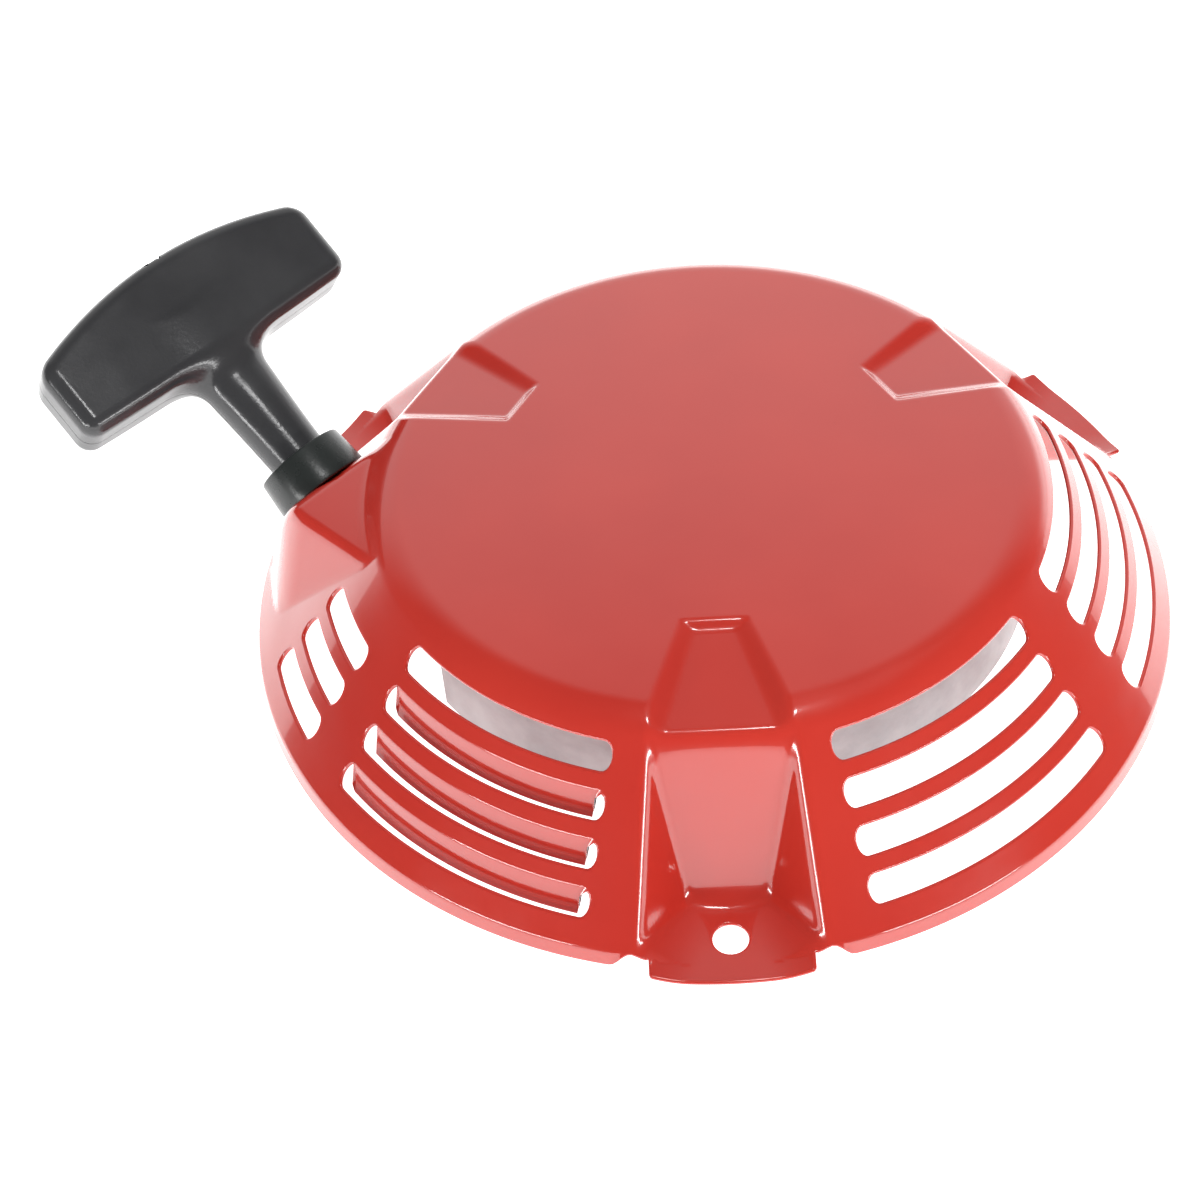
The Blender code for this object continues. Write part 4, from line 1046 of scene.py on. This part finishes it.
coil = [helix(radius, z, 0.0, 1.0, 160) for radius, z in ((52.55, 19.85), (52.55, 24.15), (54.5, 22.0))]
place_piece(rope_piece("wound_rope", coil, ROPE_R, closed_ends=False), "rope_coil")


def knot(name, node, centre, matrix, reach, swing, lift, radius):
    """A rope's end tied as a trefoil."""
    path = []
    for t in (2.0 * math.pi * k / 96.0 for k in range(97)):
        r = reach + swing * math.cos(3.0 * t)
        z = centre + lift * math.sin(3.0 * t)
        path.append(matrix @ Vector((r * math.cos(2.0 * t), r * math.sin(2.0 * t), z)))
    place_piece(rope_piece(name, [path], radius, closed_ends=False), node)


knot("grip_knot", "rope_knot_handle", 53.7, EXIT_FRAME, 2.6, 0.8, 1.2, 1.7)
under_flange = about_z(115.0) @ Matrix.Translation((54.5, 0.0, 0.0))
knot("reel_knot", "rope_knot_reel", 14.8, under_flange, 1.35, 0.4, 0.4, 0.75)
ferrule = [(2.7, 48.8), (5.8, 48.8), (5.8, 50.0), (2.7, 50.0)]
add_lathe("knot_washer", "handle_ferrule", ferrule, 64, 0.25, EXIT_FRAME)


def lead_path():
    """From the reel's coil to the guide: a tangent, then a bend up into the guide."""
    mouth = Vector(EXIT) - ALONG * 10.5
    leave_r, level = 59.35, 22.0
    bearing = math.atan2(mouth.y, mouth.x) + math.acos(leave_r / math.hypot(mouth.x, mouth.y))
    start = Vector((leave_r * math.cos(bearing), leave_r * math.sin(bearing), level))
    lead = Vector((mouth.x, mouth.y, level)) - start
    handles = (start, start + lead * 0.6, mouth - ALONG * 6.0, mouth)
    path = []
    for t in (k / 48.0 for k in range(49)):
        shares = ((1 - t) ** 3, 3 * t * (1 - t) ** 2, 3 * t * t * (1 - t), t ** 3)
        path.append(sum((share * handle for share, handle in zip(shares, handles)), Vector()))
    return path


place_piece(rope_piece("rope_to_guide", [lead_path()], ROPE_R), "rope_lead")

# Only its pulled-out state shows this rope, so its strands are drawn for that state's length.
RUN_START, RUN_END, PAID_OUT = -9.0, 42.0, 900.0
run_path = [Vector(EXIT) + ALONG * d for d in np.linspace(-10.0, 50.1, 121)]
run = rope_piece("rope_to_grip", [run_path], ROPE_R, stretch=1.0 + PAID_OUT / (RUN_END - RUN_START))
place_piece(run, "rope_run", rides=False)
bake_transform(run)

# ---- carried-over solids get their finish ----
for name, slot in SLOT_OF.items():
    node = frame["nodes"][name]
    node.data.materials.clear()
    node.data.materials.append(MATERIALS[slot])


# ---- studio ----
def floor_material():
    """Bright from above, and clear from below, so that the underside can be looked at."""
    n = Nodes("pale_floor")
    n.set(Base_Color=(0.86, 0.86, 0.86, 1.0), Roughness=0.9)
    n.set(Emission_Color=(1.0, 1.0, 1.0, 1.0), Emission_Strength=1.4)
    clear, side, mix = (n.add(kind) for kind in ("BsdfTransparent", "NewGeometry", "MixShader"))
    n.link(side.outputs["Backfacing"], mix.inputs[0])
    n.link(n.shader.outputs[0], mix.inputs[1])
    n.link(clear.outputs[0], mix.inputs[2])
    n.link(mix.outputs[0], n.tree.nodes["Material Output"].inputs["Surface"])
    return n.mat


bm = bmesh.new()
bmesh.ops.create_grid(bm, x_segments=8, y_segments=8, size=30.0)
floor_mesh = bpy.data.meshes.new("studio_floor")
bm.to_mesh(floor_mesh)
bm.free()
floor_mesh.materials.append(floor_material())
floor = bpy.data.objects.new("studio_floor", floor_mesh)
floor.location.z = CAD_BOX[0][2] - 0.0002
bpy.context.scene.collection.objects.link(floor)


def area_light(name, place, target, size, power):
    light = bpy.data.lights.new(name, "AREA")
    light.shape = "RECTANGLE"
    light.size, light.size_y = size
    light.energy = power
    obj = bpy.data.objects.new(name, light)
    obj.location = place
    obj.rotation_mode = "QUATERNION"
    obj.rotation_quaternion = (Vector(target) - Vector(place)).to_track_quat("-Z", "Y")
    bpy.context.scene.collection.objects.link(obj)
    return obj


key = area_light("key_softbox", (0.25, -0.10, 1.2), (0.0, 0.0, 0.02), (1.0, 0.8), 10.9)
key.visible_glossy = False
area_light("left_strip", (-0.66, -0.66, 0.17), (0.0, 0.0, 0.03), (0.50, 0.07), 2.4)
area_light("right_strip", (0.66, -0.66, 0.17), (0.0, 0.0, 0.03), (0.50, 0.07), 2.4)
area_light("top_strip", (0.11, -0.30, 0.95), (0.0, 0.0, 0.03), (0.20, 0.12), 1.5)


WORLD_DARK, WORLD_BACK, WORLD_LOW = 0.09, 0.97, 1.4


def graded_world():
    """White behind and low down, dark above and in front, which keeps the near slopes deep in colour.

    Looked at directly, it is white all round.
    """
    n = Nodes("studio", world=True)
    split = n.add("SeparateXYZ")
    n.link(n.coord["Generated"], split.inputs[0])

    def grade(source, *ends):
        node = n.add("MapRange")
        node.interpolation_type = "SMOOTHSTEP"
        for socket, value in zip(node.inputs[1:5], ends):
            socket.default_value = value
        n.link(source, node.inputs[0])
        return node.outputs[0]
    behind = grade(split.outputs[1], 0.28, 0.80, WORLD_DARK, WORLD_BACK)
    low = grade(split.outputs[2], 0.02, 0.30, WORLD_LOW, 0.0)
    side = grade(split.outputs[1], 0.40, 0.56, 0.0, 1.0)
    total = n.math("ADD", behind, n.math("MULTIPLY", low, side))
    seen = n.add("LightPath").outputs["Is Camera Ray"]
    n.set(Color=(1.0, 1.0, 1.0, 1.0))
    n.drive(Strength=n.math("MAXIMUM", total, seen))
    return n.mat


bpy.context.scene.world = graded_world()
bpy.context.scene.view_settings.view_transform = "Standard"

# ---- camera ----
CAM_AZ, CAM_EL, CAM_ROLL = 2.834, 46.809, -4.955
CAM_DISTANCE, CAM_LENS = 0.520, 72.39
SHIFT_X, SHIFT_Y = 0.04542, 0.00227
az, el, roll = (math.radians(a) for a in (CAM_AZ, CAM_EL, CAM_ROLL))
back = Vector((math.sin(az) * math.cos(el), -math.cos(az) * math.cos(el), math.sin(el)))
right = Vector((math.cos(az), math.sin(az), 0.0))
up = back.cross(right)
cam_x = math.cos(roll) * right + math.sin(roll) * up
cam_y = math.cos(roll) * up - math.sin(roll) * right
camera = bpy.data.objects.new("camera", bpy.data.cameras.new("camera"))
camera.data.sensor_width = 36.0
camera.data.lens = CAM_LENS
camera.data.clip_start = 0.01
place = back * CAM_DISTANCE - (cam_x * SHIFT_X + cam_y * SHIFT_Y) * CAM_DISTANCE
camera.matrix_world = Matrix.Translation(place) @ Matrix((cam_x, cam_y, back)).transposed().to_4x4()
bpy.context.scene.collection.objects.link(camera)
bpy.context.scene.camera = camera
